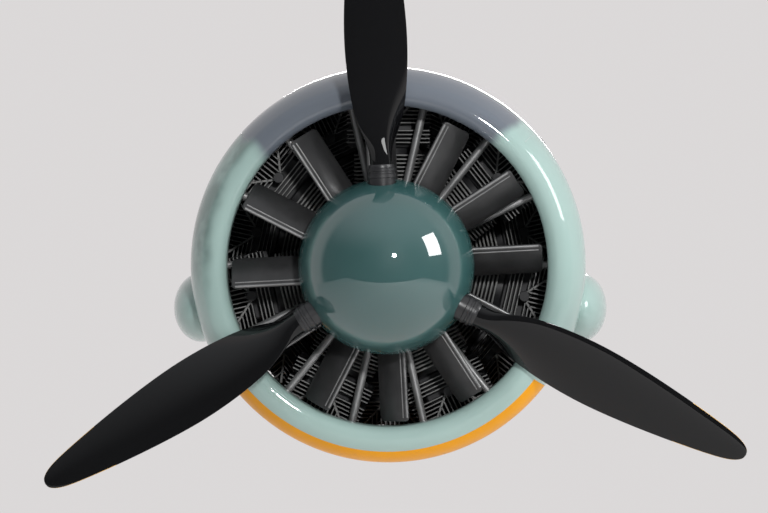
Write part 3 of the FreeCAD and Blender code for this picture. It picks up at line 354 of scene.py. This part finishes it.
def outline_edges(mesh: bmesh.types.BMesh, corners: Sequence[Corner],
                  closed: bool) -> list[bmesh.types.BMEdge]:
    """Draws a profile, radius along X and depth along Y.

    Args:
        mesh: where the profile goes.
        corners: its corners, each a radius and a depth.
        closed: whether the last corner joins the first.

    Returns:
        Its edges.
    """
    points = [mesh.verts.new((radius, depth, 0)) for radius, depth in corners]
    pairs = list(zip(points, points[1:]))
    if closed:
        pairs.append((points[-1], points[0]))
    return [mesh.edges.new(pair) for pair in pairs]


def lathe(mesh: bmesh.types.BMesh, corners: Sequence[Corner], steps: int, closed: bool = True) -> None:
    """Turns a profile a full turn about the Y axis.

    Args:
        mesh: where the turned shape goes.
        corners: the profile's corners, each a radius and a depth.
        steps: how many faces go round.
        closed: whether the profile's last corner joins its first.
    """
    edges = outline_edges(mesh, corners, closed)
    points = list({point for edge in edges for point in edge.verts})
    bmesh.ops.spin(mesh, geom=edges + points, cent=(0, 0, 0), axis=(0, 1, 0), angle=FULL_TURN, steps=steps,
                   use_merge=True)
    bmesh.ops.remove_doubles(mesh, verts=mesh.verts, dist=1e-6)


def slab(mesh: bmesh.types.BMesh, size: Sequence[float], centre: Sequence[float], rim: int | None = None,
         thin: int = 2, soft: float = 0.0) -> list[bmesh.types.BMVert]:
    """Adds a box, with its narrow faces in another finish where it is a fin.

    Args:
        mesh: where the box goes.
        size: its width, depth and height.
        centre: its centre.
        rim: the finish number of the faces round its edge, or None for one finish.
        thin: which axis is the box's thickness.
        soft: the bevel of its edges.

    Returns:
        Its vertices.
    """
    made = bmesh.ops.create_cube(mesh, size=1.0)["verts"]
    bmesh.ops.scale(mesh, vec=size, verts=made)
    bmesh.ops.translate(mesh, vec=centre, verts=made)
    if soft:
        edges = list({edge for vert in made for edge in vert.link_edges})
        beveled = bmesh.ops.bevel(mesh, geom=edges, offset=soft, segments=1, profile=0.5, affect="EDGES",
                                  material=-1)
        made = list({vert for face in beveled["faces"] for vert in face.verts})
    if rim is not None:
        for face in {face for vert in made for face in vert.link_faces}:
            face.normal_update()
            if abs(face.normal[thin]) < 0.5:
                face.material_index = rim
    return made


def upright(angle: float) -> Matrix:
    """Gives the turn that brings a piece that points up to an angle about the shaft."""
    return Matrix.Rotation(math.radians(90 - angle), 4, "Y")


def repeat(mesh: bmesh.types.BMesh, angles: Iterable[float]) -> None:
    """Copies what the mesh holds to each of the angles about the shaft, and removes the first.

    Args:
        mesh: a mesh that holds one piece, which points up.
        angles: the angles of the copies, in degrees.
    """
    whole = list(mesh.verts) + list(mesh.edges) + list(mesh.faces)
    for angle in angles:
        copied = bmesh.ops.duplicate(mesh, geom=whole)["geom"]
        points = [item for item in copied if isinstance(item, bmesh.types.BMVert)]
        bmesh.ops.transform(mesh, matrix=upright(angle), verts=points)
    first = [item for item in whole if isinstance(item, bmesh.types.BMVert)]
    bmesh.ops.delete(mesh, geom=first, context="VERTS")


def piece(name: str, mesh: bmesh.types.BMesh, finishes: Sequence[GlossPaint | CowlPaint | Metal], body: Body,
          nodes: Sequence[str] = (), sharp: float = 32.0) -> bpy.types.Object:
    """Makes an object of a finished mesh, parents it to its group's empty and hides the nodes it stands for.

    Args:
        name: the piece's name.
        mesh: its mesh, which is used up.
        finishes: its finishes, in the order of the faces' finish numbers.
        body: the group that it moves with.
        nodes: the construction nodes that it stands for.
        sharp: the angle in degrees above which an edge stays sharp.

    Returns:
        The object.
    """
    bmesh.ops.recalc_face_normals(mesh, faces=mesh.faces)
    limit = math.radians(sharp)
    for edge in mesh.edges:
        edge.smooth = len(edge.link_faces) == 2 and edge.calc_face_angle(math.pi) < limit
    for face in mesh.faces:
        face.smooth = True
    data = bpy.data.meshes.new(name)
    mesh.to_mesh(data)
    mesh.free()
    for finish in finishes:
        data.materials.append(PALETTE.get(finish))
    made = bpy.data.objects.new(name, data)
    bpy.context.scene.collection.objects.link(made)
    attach(made, body.value)
    if nodes:
        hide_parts(*nodes)
    log.info("%s: %d faces", name, len(data.polygons))
    return made


@dataclass
class Cowl:
    """The nose ring and the four panels behind it."""

    lip_radius: float = 0.161
    lip_depth: float = 0.024
    crest_radius: float = 0.1715
    crest_lead: float = 0.0075
    ring_front: float = 0.2405
    ring_edge: float = 0.186
    wall: float = 0.0025
    shoulder: float = 0.1965
    radius: float = 0.200
    taper_start: float = 0.110
    rear: float = 0.020
    rear_radius: float = 0.197
    joint_gap: float = 0.0002
    rows: int = 10
    face_angle: float = 1.2
    joints: tuple[float, ...] = (-37.4, 42, 138, 221, 322.6)

    @staticmethod
    def curve(across: float, along: float) -> float:
        """Gives the radius of an arc that leaves its tangent by along over a distance across."""
        return (across**2 + along**2) / (2 * along)

    def nose_ring(self) -> None:
        """Makes the ring with its rolled lip."""
        front = -self.ring_front
        crest = (self.crest_radius, front - self.crest_lead)
        inner_crest = (self.crest_radius, crest[1] + self.wall)
        edge = (self.ring_edge, front - self.joint_gap)
        inner_edge = (self.ring_edge - self.wall, front - self.joint_gap)
        inner_lip = (self.lip_radius + self.wall, front)
        inner_curve = self.curve(self.crest_radius - self.lip_radius, self.crest_lead)
        outer_curve = self.curve(self.ring_edge - self.crest_radius, self.crest_lead)
        corners = [(self.lip_radius, front + self.lip_depth)]
        corners += arc((self.lip_radius, front), crest, inner_curve, -1, 14)
        corners += arc(crest, edge, outer_curve, -1, 16)
        corners += [edge]
        corners += arc(inner_edge, inner_crest, outer_curve - self.wall, 1, 8)
        corners += arc(inner_crest, inner_lip, inner_curve - self.wall, 1, 8)
        corners += [inner_lip, (inner_lip[0], front + self.lip_depth)]
        mesh = bmesh.new()
        lathe(mesh, corners, 256)
        piece("nose_ring_shell", mesh, [COWL], Body.ENGINE, ["cowl_nose_ring"])

    def panel(self, side: str, start: float, end: float, finish: GlossPaint | CowlPaint) -> None:
        """Makes one panel between two angles.

        Args:
            side: which panel, as its node is named.
            start: the angle it starts at, in degrees.
            end: the angle it ends at.
            finish: its paint.
        """
        front = (self.ring_edge, -self.ring_front)
        shoulder = (self.radius, -self.shoulder)
        curve = self.curve(self.ring_front - self.shoulder, self.radius - self.ring_edge)
        corners = arc(front, shoulder, curve, -1, 20)
        shares = [step / self.rows for step in range(self.rows + 1)]
        corners += [(self.radius, -self.shoulder + (self.shoulder - self.taper_start) * share)
                    for share in shares[:-1]]
        corners += [(self.radius + (self.rear_radius - self.radius) * share,
                     -self.taper_start + (self.taper_start - self.rear) * share) for share in shares]
        corners += [(radius - self.wall, depth) for radius, depth in reversed(corners)]
        mesh = bmesh.new()
        edges = outline_edges(mesh, corners, True)
        bmesh.ops.contextual_create(mesh, geom=edges)
        gap = math.degrees(self.joint_gap / 2 / self.radius)
        bmesh.ops.rotate(mesh, cent=(0, 0, 0), matrix=Matrix.Rotation(-math.radians(start + gap), 3, "Y"),
                         verts=mesh.verts)
        sweep = math.radians(end - start - 2 * gap)
        bmesh.ops.spin(mesh, geom=list(mesh.faces), cent=(0, 0, 0), axis=(0, 1, 0), angle=-sweep,
                       steps=round((end - start) / self.face_angle), use_duplicate=False)
        piece(f"{side}_panel_shell", mesh, [finish], Body.ENGINE, [f"{side}_cowl_panel"])

    def build(self) -> None:
        """Makes the ring and the panels."""
        self.nose_ring()
        finishes = {"right": COWL, "top": COWL, "left": COWL, "lower": ORANGE}
        for (side, finish), start, end in zip(finishes.items(), self.joints, self.joints[1:]):
            self.panel(side, start, end, finish)


@dataclass
class Spinner:
    """The domed spinner, with a hole at each blade root."""

    radius: float = 0.088
    length: float = 0.094
    base: float = -0.252
    wall: float = 0.0025
    blade_depth: float = -0.274
    hole: float = 0.0145
    hole_reach: float = 0.06
    rings: int = 60

    def build(self) -> None:
        """Makes the dome and cuts its holes."""
        turns = [math.pi / 2 * step / self.rings for step in range(self.rings)]
        outer = [(self.radius * math.cos(turn), self.base - self.length * math.sin(turn)) for turn in turns]
        outer.append((0.0, self.base - self.length))
        inner = [(max(0.0, radius - self.wall * radius / self.radius),
                  depth + self.wall * (self.base - depth) / self.length) for radius, depth in reversed(outer)]
        mesh = bmesh.new()
        lathe(mesh, outer + inner, 192)
        made = piece("spinner_shell", mesh, [TEAL, FIN_BLACK], Body.DRIVE, ["spinner_dome"])
        cutter = bmesh.new()
        bmesh.ops.create_cone(cutter, cap_ends=True, segments=48, radius1=self.hole, radius2=self.hole,
                              depth=self.hole_reach)
        bmesh.ops.translate(cutter, vec=(0, self.blade_depth, self.radius), verts=cutter.verts)
        repeat(cutter, BLADE_ANGLES)
        data = bpy.data.meshes.new("hole_cutter")
        cutter.to_mesh(data)
        cutter.free()
        tool = bpy.data.objects.new("hole_cutter", data)
        bpy.context.scene.collection.objects.link(tool)
        cut = made.modifiers.new("holes", "BOOLEAN")
        cut.object = tool
        cut.solver = "EXACT"
        shown = made.evaluated_get(bpy.context.evaluated_depsgraph_get())
        finished = bpy.data.meshes.new_from_object(shown)
        made.modifiers.clear()
        made.data = finished
        bpy.data.objects.remove(tool)


@dataclass
class Propeller:
    """The three blades and the stepped collars at their roots."""

    start: float = 0.104
    tip: float = 0.404
    shank_radius: float = 0.0115
    shank_start: float = 0.036
    chord: float = 0.070
    thickness: float = 0.013
    depth: float = -0.274
    around: int = 32
    grown_share: float = 0.147
    grown_fullness: float = 0.12
    grown_sharpness: float = 0.8
    swell: float = 0.25
    yellow_rings: int = 5
    yellow_share: float = 0.985
    sections: tuple[tuple[float, float, float, float], ...] = (
        (0.000, 0.33, 1.76, 50), (0.040, 0.40, 1.50, 48), (0.080, 0.60, 1.18, 44), (0.147, 0.84, 1.02, 38),
        (0.213, 0.93, 0.94, 34), (0.300, 0.99, 0.86, 30), (0.413, 1.00, 0.74, 26), (0.520, 0.93, 0.62, 23),
        (0.630, 0.83, 0.52, 21), (0.760, 0.68, 0.42, 19), (0.880, 0.51, 0.32, 17.5), (0.940, 0.40, 0.26, 17),
        (0.975, 0.28, 0.21, 16.5), (0.996, 0.12, 0.14, 16))

    def ring(self, mesh: bmesh.types.BMesh, height: float, chord: float, thickness: float,
             pitch: float, fullness: float, sharpness: float) -> list[bmesh.types.BMEdge]:
        """Adds one section of a blade that points up.

        Args:
            mesh: where the section goes.
            height: its distance from the shaft.
            chord: its width.
            thickness: its thickness.
            pitch: its angle to the disc, in degrees.
            fullness: the front face's share of the thickness.
            sharpness: 1 for an ellipse, towards 2 for a lens.

        Returns:
            Its edges.
        """
        points = bmesh.ops.create_circle(mesh, cap_ends=False, segments=self.around, radius=1.0)["verts"]
        turn = math.radians(pitch)
        along = Vector((-math.cos(turn), -math.sin(turn), 0))
        across = Vector((math.sin(turn), -math.cos(turn), 0))
        for point in points:
            forward, rise = point.co.x, math.copysign(abs(point.co.y) ** sharpness, point.co.y)
            share = fullness if rise > 0 else 1 - fullness
            swell = 1 + self.swell * (fullness - 0.5) / self.grown_fullness * forward
            place = along * forward * chord / 2 + across * rise * share * thickness * swell
            point.co = place + Vector((0, self.depth, height))
        return list({edge for point in points for edge in point.link_edges})

    def blade(self, number: int, angle: float, body: Body) -> None:
        """Makes one blade.

        Args:
            number: the blade's number, as in its node's name.
            angle: its angle about the shaft, in degrees.
            body: the group that it moves with.
        """
        mesh = bmesh.new()
        reach = self.tip - self.start
        shank = 2 * self.shank_radius
        root_pitch = self.sections[0][3]
        rings = [self.ring(mesh, height, shank, shank, root_pitch, 0.5, 1)
                 for height in (self.shank_start, self.shank_start + 0.002, self.start - 0.006)]
        for share, chord, thickness, pitch in self.sections:
            grown = min(1.0, share / self.grown_share)
            rings.append(self.ring(mesh, self.start + share * reach, chord * self.chord,
                                   thickness * self.thickness, pitch, 0.5 + self.grown_fullness * grown,
                                   1 + self.grown_sharpness * grown))
        for level, (lower, upper) in enumerate(zip(rings, rings[1:])):
            walls = bmesh.ops.bridge_loops(mesh, edges=lower + upper)["faces"]
            if level >= len(rings) - self.yellow_rings:
                widest = max(abs(vert.co.x) for face in walls for vert in face.verts)
                for face in walls:
                    if max(abs(vert.co.x) for vert in face.verts) > self.yellow_share * widest:
                        face.material_index = 1
        bmesh.ops.holes_fill(mesh, edges=rings[0] + rings[-1], sides=self.around)
        bmesh.ops.recalc_face_normals(mesh, faces=mesh.faces)
        bmesh.ops.transform(mesh, matrix=upright(angle), verts=mesh.verts)
        made = piece(f"blade_{number}_vane", mesh, [BLADE_BLACK, TIP_YELLOW], body,
                     [f"blade_{number}"], sharp=80)
        smooth = made.modifiers.new("smooth", "SUBSURF")
        smooth.levels = smooth.render_levels = 2

    def collars(self) -> None:
        """Makes the stepped collars that hold the blade roots."""
        inner = self.shank_radius + 0.00005
        profile = [(inner, 0.066), (0.0135, 0.066), (0.0135, 0.0885), (0.0142, 0.0890), (0.0142, 0.0925),
                   (0.0132, 0.0930), (0.0132, 0.0950), (0.0140, 0.0955), (0.0140, 0.0980), (0.0128, 0.0985),
                   (0.0128, 0.1005), (0.0122, 0.1020), (inner, 0.1020)]
        mesh = bmesh.new()
        lathe(mesh, profile, 64)
        bmesh.ops.rotate(mesh, cent=(0, 0, 0), matrix=Matrix.Rotation(math.pi / 2, 3, "X"), verts=mesh.verts)
        bmesh.ops.translate(mesh, vec=(0, self.depth, 0), verts=mesh.verts)
        repeat(mesh, BLADE_ANGLES)
        piece("root_collars", mesh, [DARK_ENAMEL], Body.DRIVE, ["blade_collars"])

    def build(self) -> None:
        """Makes the blades and the collars."""
        bodies = (Body.FIRST_BLADE, Body.SECOND_BLADE, Body.THIRD_BLADE)
        for number, (angle, body) in enumerate(zip(BLADE_ANGLES, bodies), 1):
            self.blade(number, angle, body)
        self.collars()


@dataclass
class CoolingFan:
    """The twelve-bladed fan behind the spinner."""

    tip: float = 0.156
    hub_radius: float = 0.084
    hub_wall: float = 0.006
    web: float = 0.004
    face: float = -0.248
    length: float = 0.032
    shaft: float = 0.015
    chord: float = 0.040
    thickness: float = 0.003
    pitch: float = 45.0
    camber: float = 0.0036
    nose_radius: float = 0.0016
    bead_radius: float = 0.0009
    bead_place: float = 0.00496
    bead_lift: float = 0.0011
    bead_end: float = 0.0035
    tip_corners: tuple[float, float] = (0.0035, 0.0065)
    root_sink: float = 0.003
    hub_edge: float = 0.001
    blades: int = 12
    first_angle: float = 3.0

    def blade(self, mesh: bmesh.types.BMesh) -> None:
        """Adds one cambered blade with a cut tip corner, pointing up."""
        root = self.hub_radius - self.root_sink
        span = self.tip - root
        bmesh.ops.create_cube(mesh, size=1.0)
        bmesh.ops.scale(mesh, vec=(self.chord, self.thickness, span), verts=mesh.verts)
        half, top = self.chord / 2, span / 2
        for side, offset in zip((-1, 1), self.tip_corners):
            corner = [edge for edge in mesh.edges
                      if all(abs(vert.co.x - side * half) < 1e-6 and abs(vert.co.z - top) < 1e-6
                             for vert in edge.verts)]
            bmesh.ops.bevel(mesh, geom=corner, offset=offset, segments=3, profile=0.5, affect="EDGES",
                            material=-1)
        rims = [edge for edge in mesh.edges if edge.calc_face_angle(0) > 1.2
                and min(vert.co.z for vert in edge.verts) > -top + 1e-4 or
                all(abs(abs(vert.co.x) - half) < 1e-6 for vert in edge.verts)]
        bmesh.ops.bevel(mesh, geom=rims, offset=self.thickness * 0.36, segments=3, profile=0.5,
                        affect="EDGES", material=-1)
        for step in range(1, 10):
            cut = -half + self.chord * step / 10
            everything = list(mesh.verts) + list(mesh.edges) + list(mesh.faces)
            bmesh.ops.bisect_plane(mesh, geom=everything, plane_co=(cut, 0, 0), plane_no=(1, 0, 0))
        for vert in mesh.verts:
            vert.co.y -= self.camber * (1 - (vert.co.x / half) ** 2)
        reach = span - self.bead_end
        # The rounded nose and a thin bead beside it take the second finish, a painted highlight that draws
        # the leading edge's bright double line.
        for radius, inset, lift in ((self.nose_radius, self.nose_radius, 0.0),
                                    (self.bead_radius, self.bead_place, self.bead_lift)):
            nose = bmesh.ops.create_cone(mesh, cap_ends=True, segments=20, radius1=radius, radius2=radius,
                                         depth=reach)["verts"]
            rise = self.camber * (1 - (1 - inset / half) ** 2) + lift
            bmesh.ops.translate(mesh, vec=(inset - half, -rise, (reach - span) / 2), verts=nose)
            for face in {face for vert in nose for face in vert.link_faces}:
                face.material_index = 1
        bmesh.ops.rotate(mesh, cent=(0, 0, 0), matrix=Matrix.Rotation(math.radians(self.pitch), 3, "Z"),
                         verts=mesh.verts)
        bmesh.ops.translate(mesh, vec=(0, self.face + self.length / 2, root + top), verts=mesh.verts)

    def build(self) -> None:
        """Makes the hub and its blades."""
        mesh = bmesh.new()
        self.blade(mesh)
        repeat(mesh, [self.first_angle + number * 360 / self.blades for number in range(self.blades)])
        piece("fan_blades", mesh, [FAN_GREY, FAN_HIGHLIGHT_EDGE], Body.DRIVE, ["fan_blades"], sharp=40)
        back = self.face + self.length
        inner = self.hub_radius - self.hub_wall
        hub = bmesh.new()
        rim, edge = self.hub_radius, self.hub_edge
        lathe(hub, [(self.shaft, self.face), (rim - edge, self.face), (rim, self.face + edge),
                    (rim, back - edge), (rim - edge, back), (inner, back), (inner, self.face + self.web),
                    (self.shaft, self.face + self.web)], 128)
        piece("fan_hub_cup", hub, [FAN_GREY], Body.DRIVE, ["fan_hub"])


@dataclass
class Cylinders:
    """Finned barrels and heads, shaped pointing up and copied round the shaft."""

    front_depth: float = -0.160
    rear_depth: float = -0.090
    seat: float = 0.072
    skirt: float = 0.008
    bore: float = 0.020
    skirt_radius: float = 0.0244
    barrel: float = 0.026
    flange: float = 0.031
    flange_thickness: float = 0.005
    height: float = 0.046
    fin_radius: float = 0.036
    fin_start: float = 0.010
    fin_pitch: float = 0.004
    fin_thickness: float = 0.0018
    fins: int = 8
    head_width: float = 0.084
    head_depth: float = 0.062
    head_height: float = 0.050
    core_width: float = 0.050
    core_depth: float = 0.044
    base_start: float = 0.005
    base_fins: int = 4
    valley: float = 0.029
    comb_pitch: float = 0.0046
    comb_fins: int = 9
    cross_fins: int = 5
    plate: float = 0.003
    web: float = 0.006
    web_inset: float = 0.002
    core_past_apex: float = 0.012

    def barrel_mesh(self, depth: float) -> bmesh.types.BMesh:
        """Shapes one barrel with its fins, pointing up.

        Args:
            depth: its row's place along the shaft.

        Returns:
            Its mesh.
        """
        low = self.seat - self.skirt
        top = self.seat + self.height
        profile = [(self.bore, low), (self.skirt_radius, low), (self.skirt_radius, self.seat),
                   (self.flange, self.seat), (self.flange, self.seat + self.flange_thickness),
                   (self.barrel, self.seat + self.flange_thickness)]
        soft = self.fin_thickness * 0.25
        for number in range(self.fins):
            start = self.seat + self.fin_start + number * self.fin_pitch
            end = start + self.fin_thickness
            profile += [(self.barrel, start), (self.fin_radius - soft, start),
                        (self.fin_radius, start + soft), (self.fin_radius, end - soft),
                        (self.fin_radius - soft, end), (self.barrel, end)]
        profile += [(self.barrel, top), (self.bore, top)]
        mesh = bmesh.new()
        lathe(mesh, profile, 64)
        for face in mesh.faces:
            if math.hypot(*face.calc_center_median().xz) > self.fin_radius - soft:
                face.material_index = 1
        bmesh.ops.rotate(mesh, cent=(0, 0, 0), matrix=Matrix.Rotation(math.pi / 2, 3, "X"), verts=mesh.verts)
        bmesh.ops.translate(mesh, vec=(0, depth, 0), verts=mesh.verts)
        return mesh

    def head_mesh(self, depth: float) -> bmesh.types.BMesh:
        """Shapes one head with its fins, pointing up.

        Args:
            depth: its row's place along the shaft.

        Returns:
            Its mesh.
        """
        mesh = bmesh.new()
        seat = self.seat + self.height
        top = seat + self.head_height
        apex = top - self.valley
        thin = self.fin_thickness
        soft = thin * 0.2
        core_height = self.head_height - self.valley + self.core_past_apex
        slab(mesh, (self.core_width, self.core_depth, core_height), (0, depth, seat + core_height / 2),
             soft=0.002)
        wide = self.head_width
        for number in range(self.base_fins):
            z = seat + self.base_start + number * self.fin_pitch + thin / 2
            slab(mesh, (wide, self.head_depth, thin), (0, depth, z), rim=1, soft=soft)
        for number in range(self.comb_fins):
            x = (number - (self.comb_fins - 1) / 2) * self.comb_pitch
            low = apex + abs(x)
            slab(mesh, (thin, self.head_depth, top - low), (x, depth, (top + low) / 2), rim=1, thin=0,
                 soft=soft)
        for number in range(self.cross_fins):
            z = apex + (number + 1) * self.fin_pitch + thin / 2
            inner = z - apex + 0.002
            length = wide / 2 - inner
            for side in (-1, 1):
                slab(mesh, (length, self.head_depth, thin), (side * (inner + length / 2), depth, z), rim=1,
                     soft=soft)
        for side in (-1, 1):
            long = self.valley * math.sqrt(2) - self.plate
            made = slab(mesh, (self.plate, self.head_depth, long), (0, 0, long / 2), rim=1, thin=0,
                        soft=0.0005)
            bmesh.ops.rotate(mesh, cent=(0, 0, 0), matrix=Matrix.Rotation(side * math.pi / 4, 3, "Y"),
                             verts=made)
            bmesh.ops.translate(mesh, vec=(0, depth, apex), verts=made)
        slab(mesh, (wide, self.core_depth, self.plate), (0, depth, top - self.plate / 2), soft=0.0005)
        slab(mesh, (wide - self.web_inset, self.web, self.head_height - self.web_inset),
             (0, depth, seat + self.head_height / 2))
        return mesh

    def build(self) -> None:
        """Makes both rows."""
        finishes = [FIN_BLACK, FIN_EDGE]
        for number, angle in enumerate(FRONT_ANGLES, 1):
            for name, make in (("cylinder", self.barrel_mesh), ("head", self.head_mesh)):
                mesh = make(self.front_depth)
                repeat(mesh, [angle])
                piece(f"front_{name}_{number}_finned", mesh, finishes, Body.ENGINE,
                      [f"front_{name}_{number}"])
        for name, make in (("cylinders", self.barrel_mesh), ("heads", self.head_mesh)):
            mesh = make(self.rear_depth)
            repeat(mesh, REAR_ANGLES)
            piece(f"rear_{name}_finned", mesh, finishes, Body.ENGINE, [f"rear_{name}"])


@dataclass
class BareParts:
    """The construction nodes that show as they are, each with its finish."""

    finishes: dict[str, Metal | GlossPaint | CowlPaint] = field(default_factory=lambda: {
        "side_fairings": COWL, "panel_screws": BRIGHT_STEEL,
        "front_pushrod_tubes": TUBE_METAL, "rear_pushrod_tubes": TUBE_METAL, "pushrods": BRIGHT_STEEL,
        # The glow plugs take the black fin paint: painted shade, so that they stay as dark as the shaded
        # heads around them.
        "glow_plugs": FIN_BLACK, "crankshaft": BRIGHT_STEEL, "propeller_nut": BRIGHT_STEEL,
        "propeller_hub": BRIGHT_STEEL, "main_bearings": BRIGHT_STEEL, "front_cam_plate": BRIGHT_STEEL,
        "rear_cam_plate": BRIGHT_STEEL, "pistons": CAST_GREY, "front_master_rod": BRIGHT_STEEL,
        "rear_master_rod": BRIGHT_STEEL, "front_link_rods": BRIGHT_STEEL, "rear_link_rods": BRIGHT_STEEL,
        "front_crankcase": CAST_GREY, "rear_crankcase": CAST_GREY, "nose_case": CAST_GREY,
        "rear_cover": CAST_GREY, "carburettor": CAST_GREY, "throttle_barrel": BRIGHT_STEEL,
        "throttle_arm": BRIGHT_STEEL, "intake_pipes": CAST_GREY, "exhaust_stubs": HEAT_STEEL,
        "spinner_backplate": TEAL})

    def build(self) -> None:
        """Gives every shown node its finish, dark enamel where none is named."""
        for name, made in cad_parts.items():
            if made.hide_render:
                continue
            material = PALETTE.get(self.finishes.get(name, DARK_ENAMEL))
            made.data.materials.clear()
            made.data.materials.append(material)
            log.info("%s: %s", name, material.name)


@dataclass
class Studio:
    """The plain stage: floor, pale surroundings, lamps and camera."""

    floor: float = -0.62
    floor_front: float = -2.0
    floor_back: float = 2.4
    floor_half: float = 2.4
    fade: tuple[float, float] = (1.2, 2.0)
    distance: float = 4.0
    aim_depth: float = -0.20
    aim: tuple[float, float] = (-0.0040, 0.0086)
    eye: tuple[float, float] = (0.12, 0.12)
    lens: float = 185.6
    paper: Colour = (0.71, 0.69, 0.69)
    floor_paper: Colour = (0.90, 0.88, 0.87)
    seen_paper: Colour = (0.48, 0.47, 0.47)
    room: Colour = (0.95, 0.97, 1.0)
    room_rise: tuple[float, float] = (0.30, 1.0)
    horizon: float = 0.16
    zenith: float = 0.75
    backdrop_edge: tuple[float, float] = (0.0, 0.2)

    def surface(self) -> bpy.types.Material:
        """Gives the floor's pale finish, which fades into the surroundings."""
        kit = Painter("studio_paper", Roughness=0.85)
        kit.bump(kit.noise(60, 2), 0.0002)
        seen = kit.node("LightPath")
        kit.paint(Base_Color=kit.mix(seen.outputs["Is Camera Ray"], self.floor_paper, self.seen_paper))
        mirrored = kit.combine("MAXIMUM", seen.outputs["Is Glossy Ray"], seen.outputs["Is Transmission Ray"])
        split = kit.node("SeparateXYZ", None, Vector=kit.place)
        behind = kit.step(split.outputs[1], 0.2, 0.6)
        outer = kit.step(kit.node("VectorMath", {"operation": "LENGTH"}, in_0=kit.place).outputs["Value"],
                         *self.fade)
        shown = kit.combine("MAXIMUM", kit.combine("MULTIPLY", mirrored, behind),
                        kit.combine("MULTIPLY", seen.outputs["Is Camera Ray"], outer))
        glow = kit.node("Emission", None, Color=self.paper, Strength=1.0)
        kit.blend(shown, kit.shader.outputs[0], glow.outputs[0], "Material Output")
        return kit.material

    def ground(self) -> None:
        """Makes the floor."""
        mesh = bmesh.new()
        points = bmesh.ops.create_grid(mesh, x_segments=1, y_segments=1, size=1)["verts"]
        half, middle = (self.floor_back - self.floor_front) / 2, (self.floor_back + self.floor_front) / 2
        bmesh.ops.scale(mesh, vec=(self.floor_half, half, 1), verts=points)
        bmesh.ops.translate(mesh, vec=(0, middle, self.floor), verts=points)
        data = bpy.data.meshes.new("studio_floor")
        mesh.to_mesh(data)
        mesh.free()
        data.materials.append(self.surface())
        made = bpy.data.objects.new("studio_floor", data)
        bpy.context.scene.collection.objects.link(made)

    def lamp(self, name: str, place: Sequence[float], target: Sequence[float], size: tuple[float, float],
             power: float) -> None:
        """Adds an area lamp.

        Args:
            name: its name.
            place: where it stands.
            target: what it looks at.
            size: its width and height.
            power: its power in watts.
        """
        data = bpy.data.lights.new(name, "AREA")
        data.shape = "RECTANGLE"
        data.size, data.size_y = size
        data.energy = power
        made = bpy.data.objects.new(name, data)
        made.location = place
        made.rotation_euler = (Vector(target) - Vector(place)).to_track_quat("-Z", "Y").to_euler()
        bpy.context.scene.collection.objects.link(made)

    def light(self) -> None:
        """Sets the world and the lamps."""
        world = bpy.data.worlds.new("studio")
        bpy.context.scene.world = world
        world.use_nodes = True
        kit = NodeKit(world.node_tree, "Generated")
        split = kit.node("SeparateXYZ", None, in_0=kit.place)
        room = kit.tree.nodes["Background"]
        room.inputs["Color"].default_value = (*self.room, 1)
        rise = kit.step(split.outputs[2], *self.room_rise, self.horizon, self.zenith)
        kit.tree.links.new(rise, room.inputs["Strength"])
        paper = kit.node("Background", None, Color=self.paper, Strength=1.0)
        seen = kit.node("LightPath")
        mirrored = kit.combine("MAXIMUM", seen.outputs["Is Glossy Ray"], seen.outputs["Is Transmission Ray"])
        behind = kit.step(split.outputs[1], *self.backdrop_edge)
        shown = kit.combine("MAXIMUM", seen.outputs["Is Camera Ray"],
                            kit.combine("MULTIPLY", mirrored, behind))
        kit.blend(shown, room.outputs[0], paper.outputs[0], "World Output")
        self.lamp("softbox", (1.95, -0.85, 0.95), (0, -0.25, 0), (0.8, 0.95), 26)
        self.lamp("key", (0.88, -3.97, 1.2), (0, -0.25, 0), (0.3, 0.3), 82)
        self.lamp("rear_fill", (0.05, 2.3, 0.42), (0, 0, 0), (0.7, 0.4), 18)

    def camera(self) -> None:
        """Sets the camera almost on the shaft's axis."""
        data = bpy.data.cameras.new("camera")
        data.lens = self.lens
        data.sensor_width = 36
        made = bpy.data.objects.new("camera", data)
        place = Vector((self.eye[0], self.aim_depth - self.distance, self.eye[1]))
        target = Vector((self.aim[0], self.aim_depth, self.aim[1]))
        made.location = place
        made.rotation_euler = (target - place).to_track_quat("-Z", "Y").to_euler()
        bpy.context.scene.collection.objects.link(made)
        bpy.context.scene.camera = made

    def build(self) -> None:
        """Makes the whole stage."""
        bpy.context.scene.view_settings.view_transform = "Standard"
        self.ground()
        self.light()
        self.camera()


def main() -> None:
    """Builds the pieces in order."""
    logging.basicConfig(level=logging.INFO, format="%(message)s")
    builders: list[Callable[[], None]] = [
        Studio().build, Cowl().build, Spinner().build, Propeller().build, CoolingFan().build,
        Cylinders().build, BareParts().build]
    for make in builders:
        make()


if __name__ == "__main__":
    main()
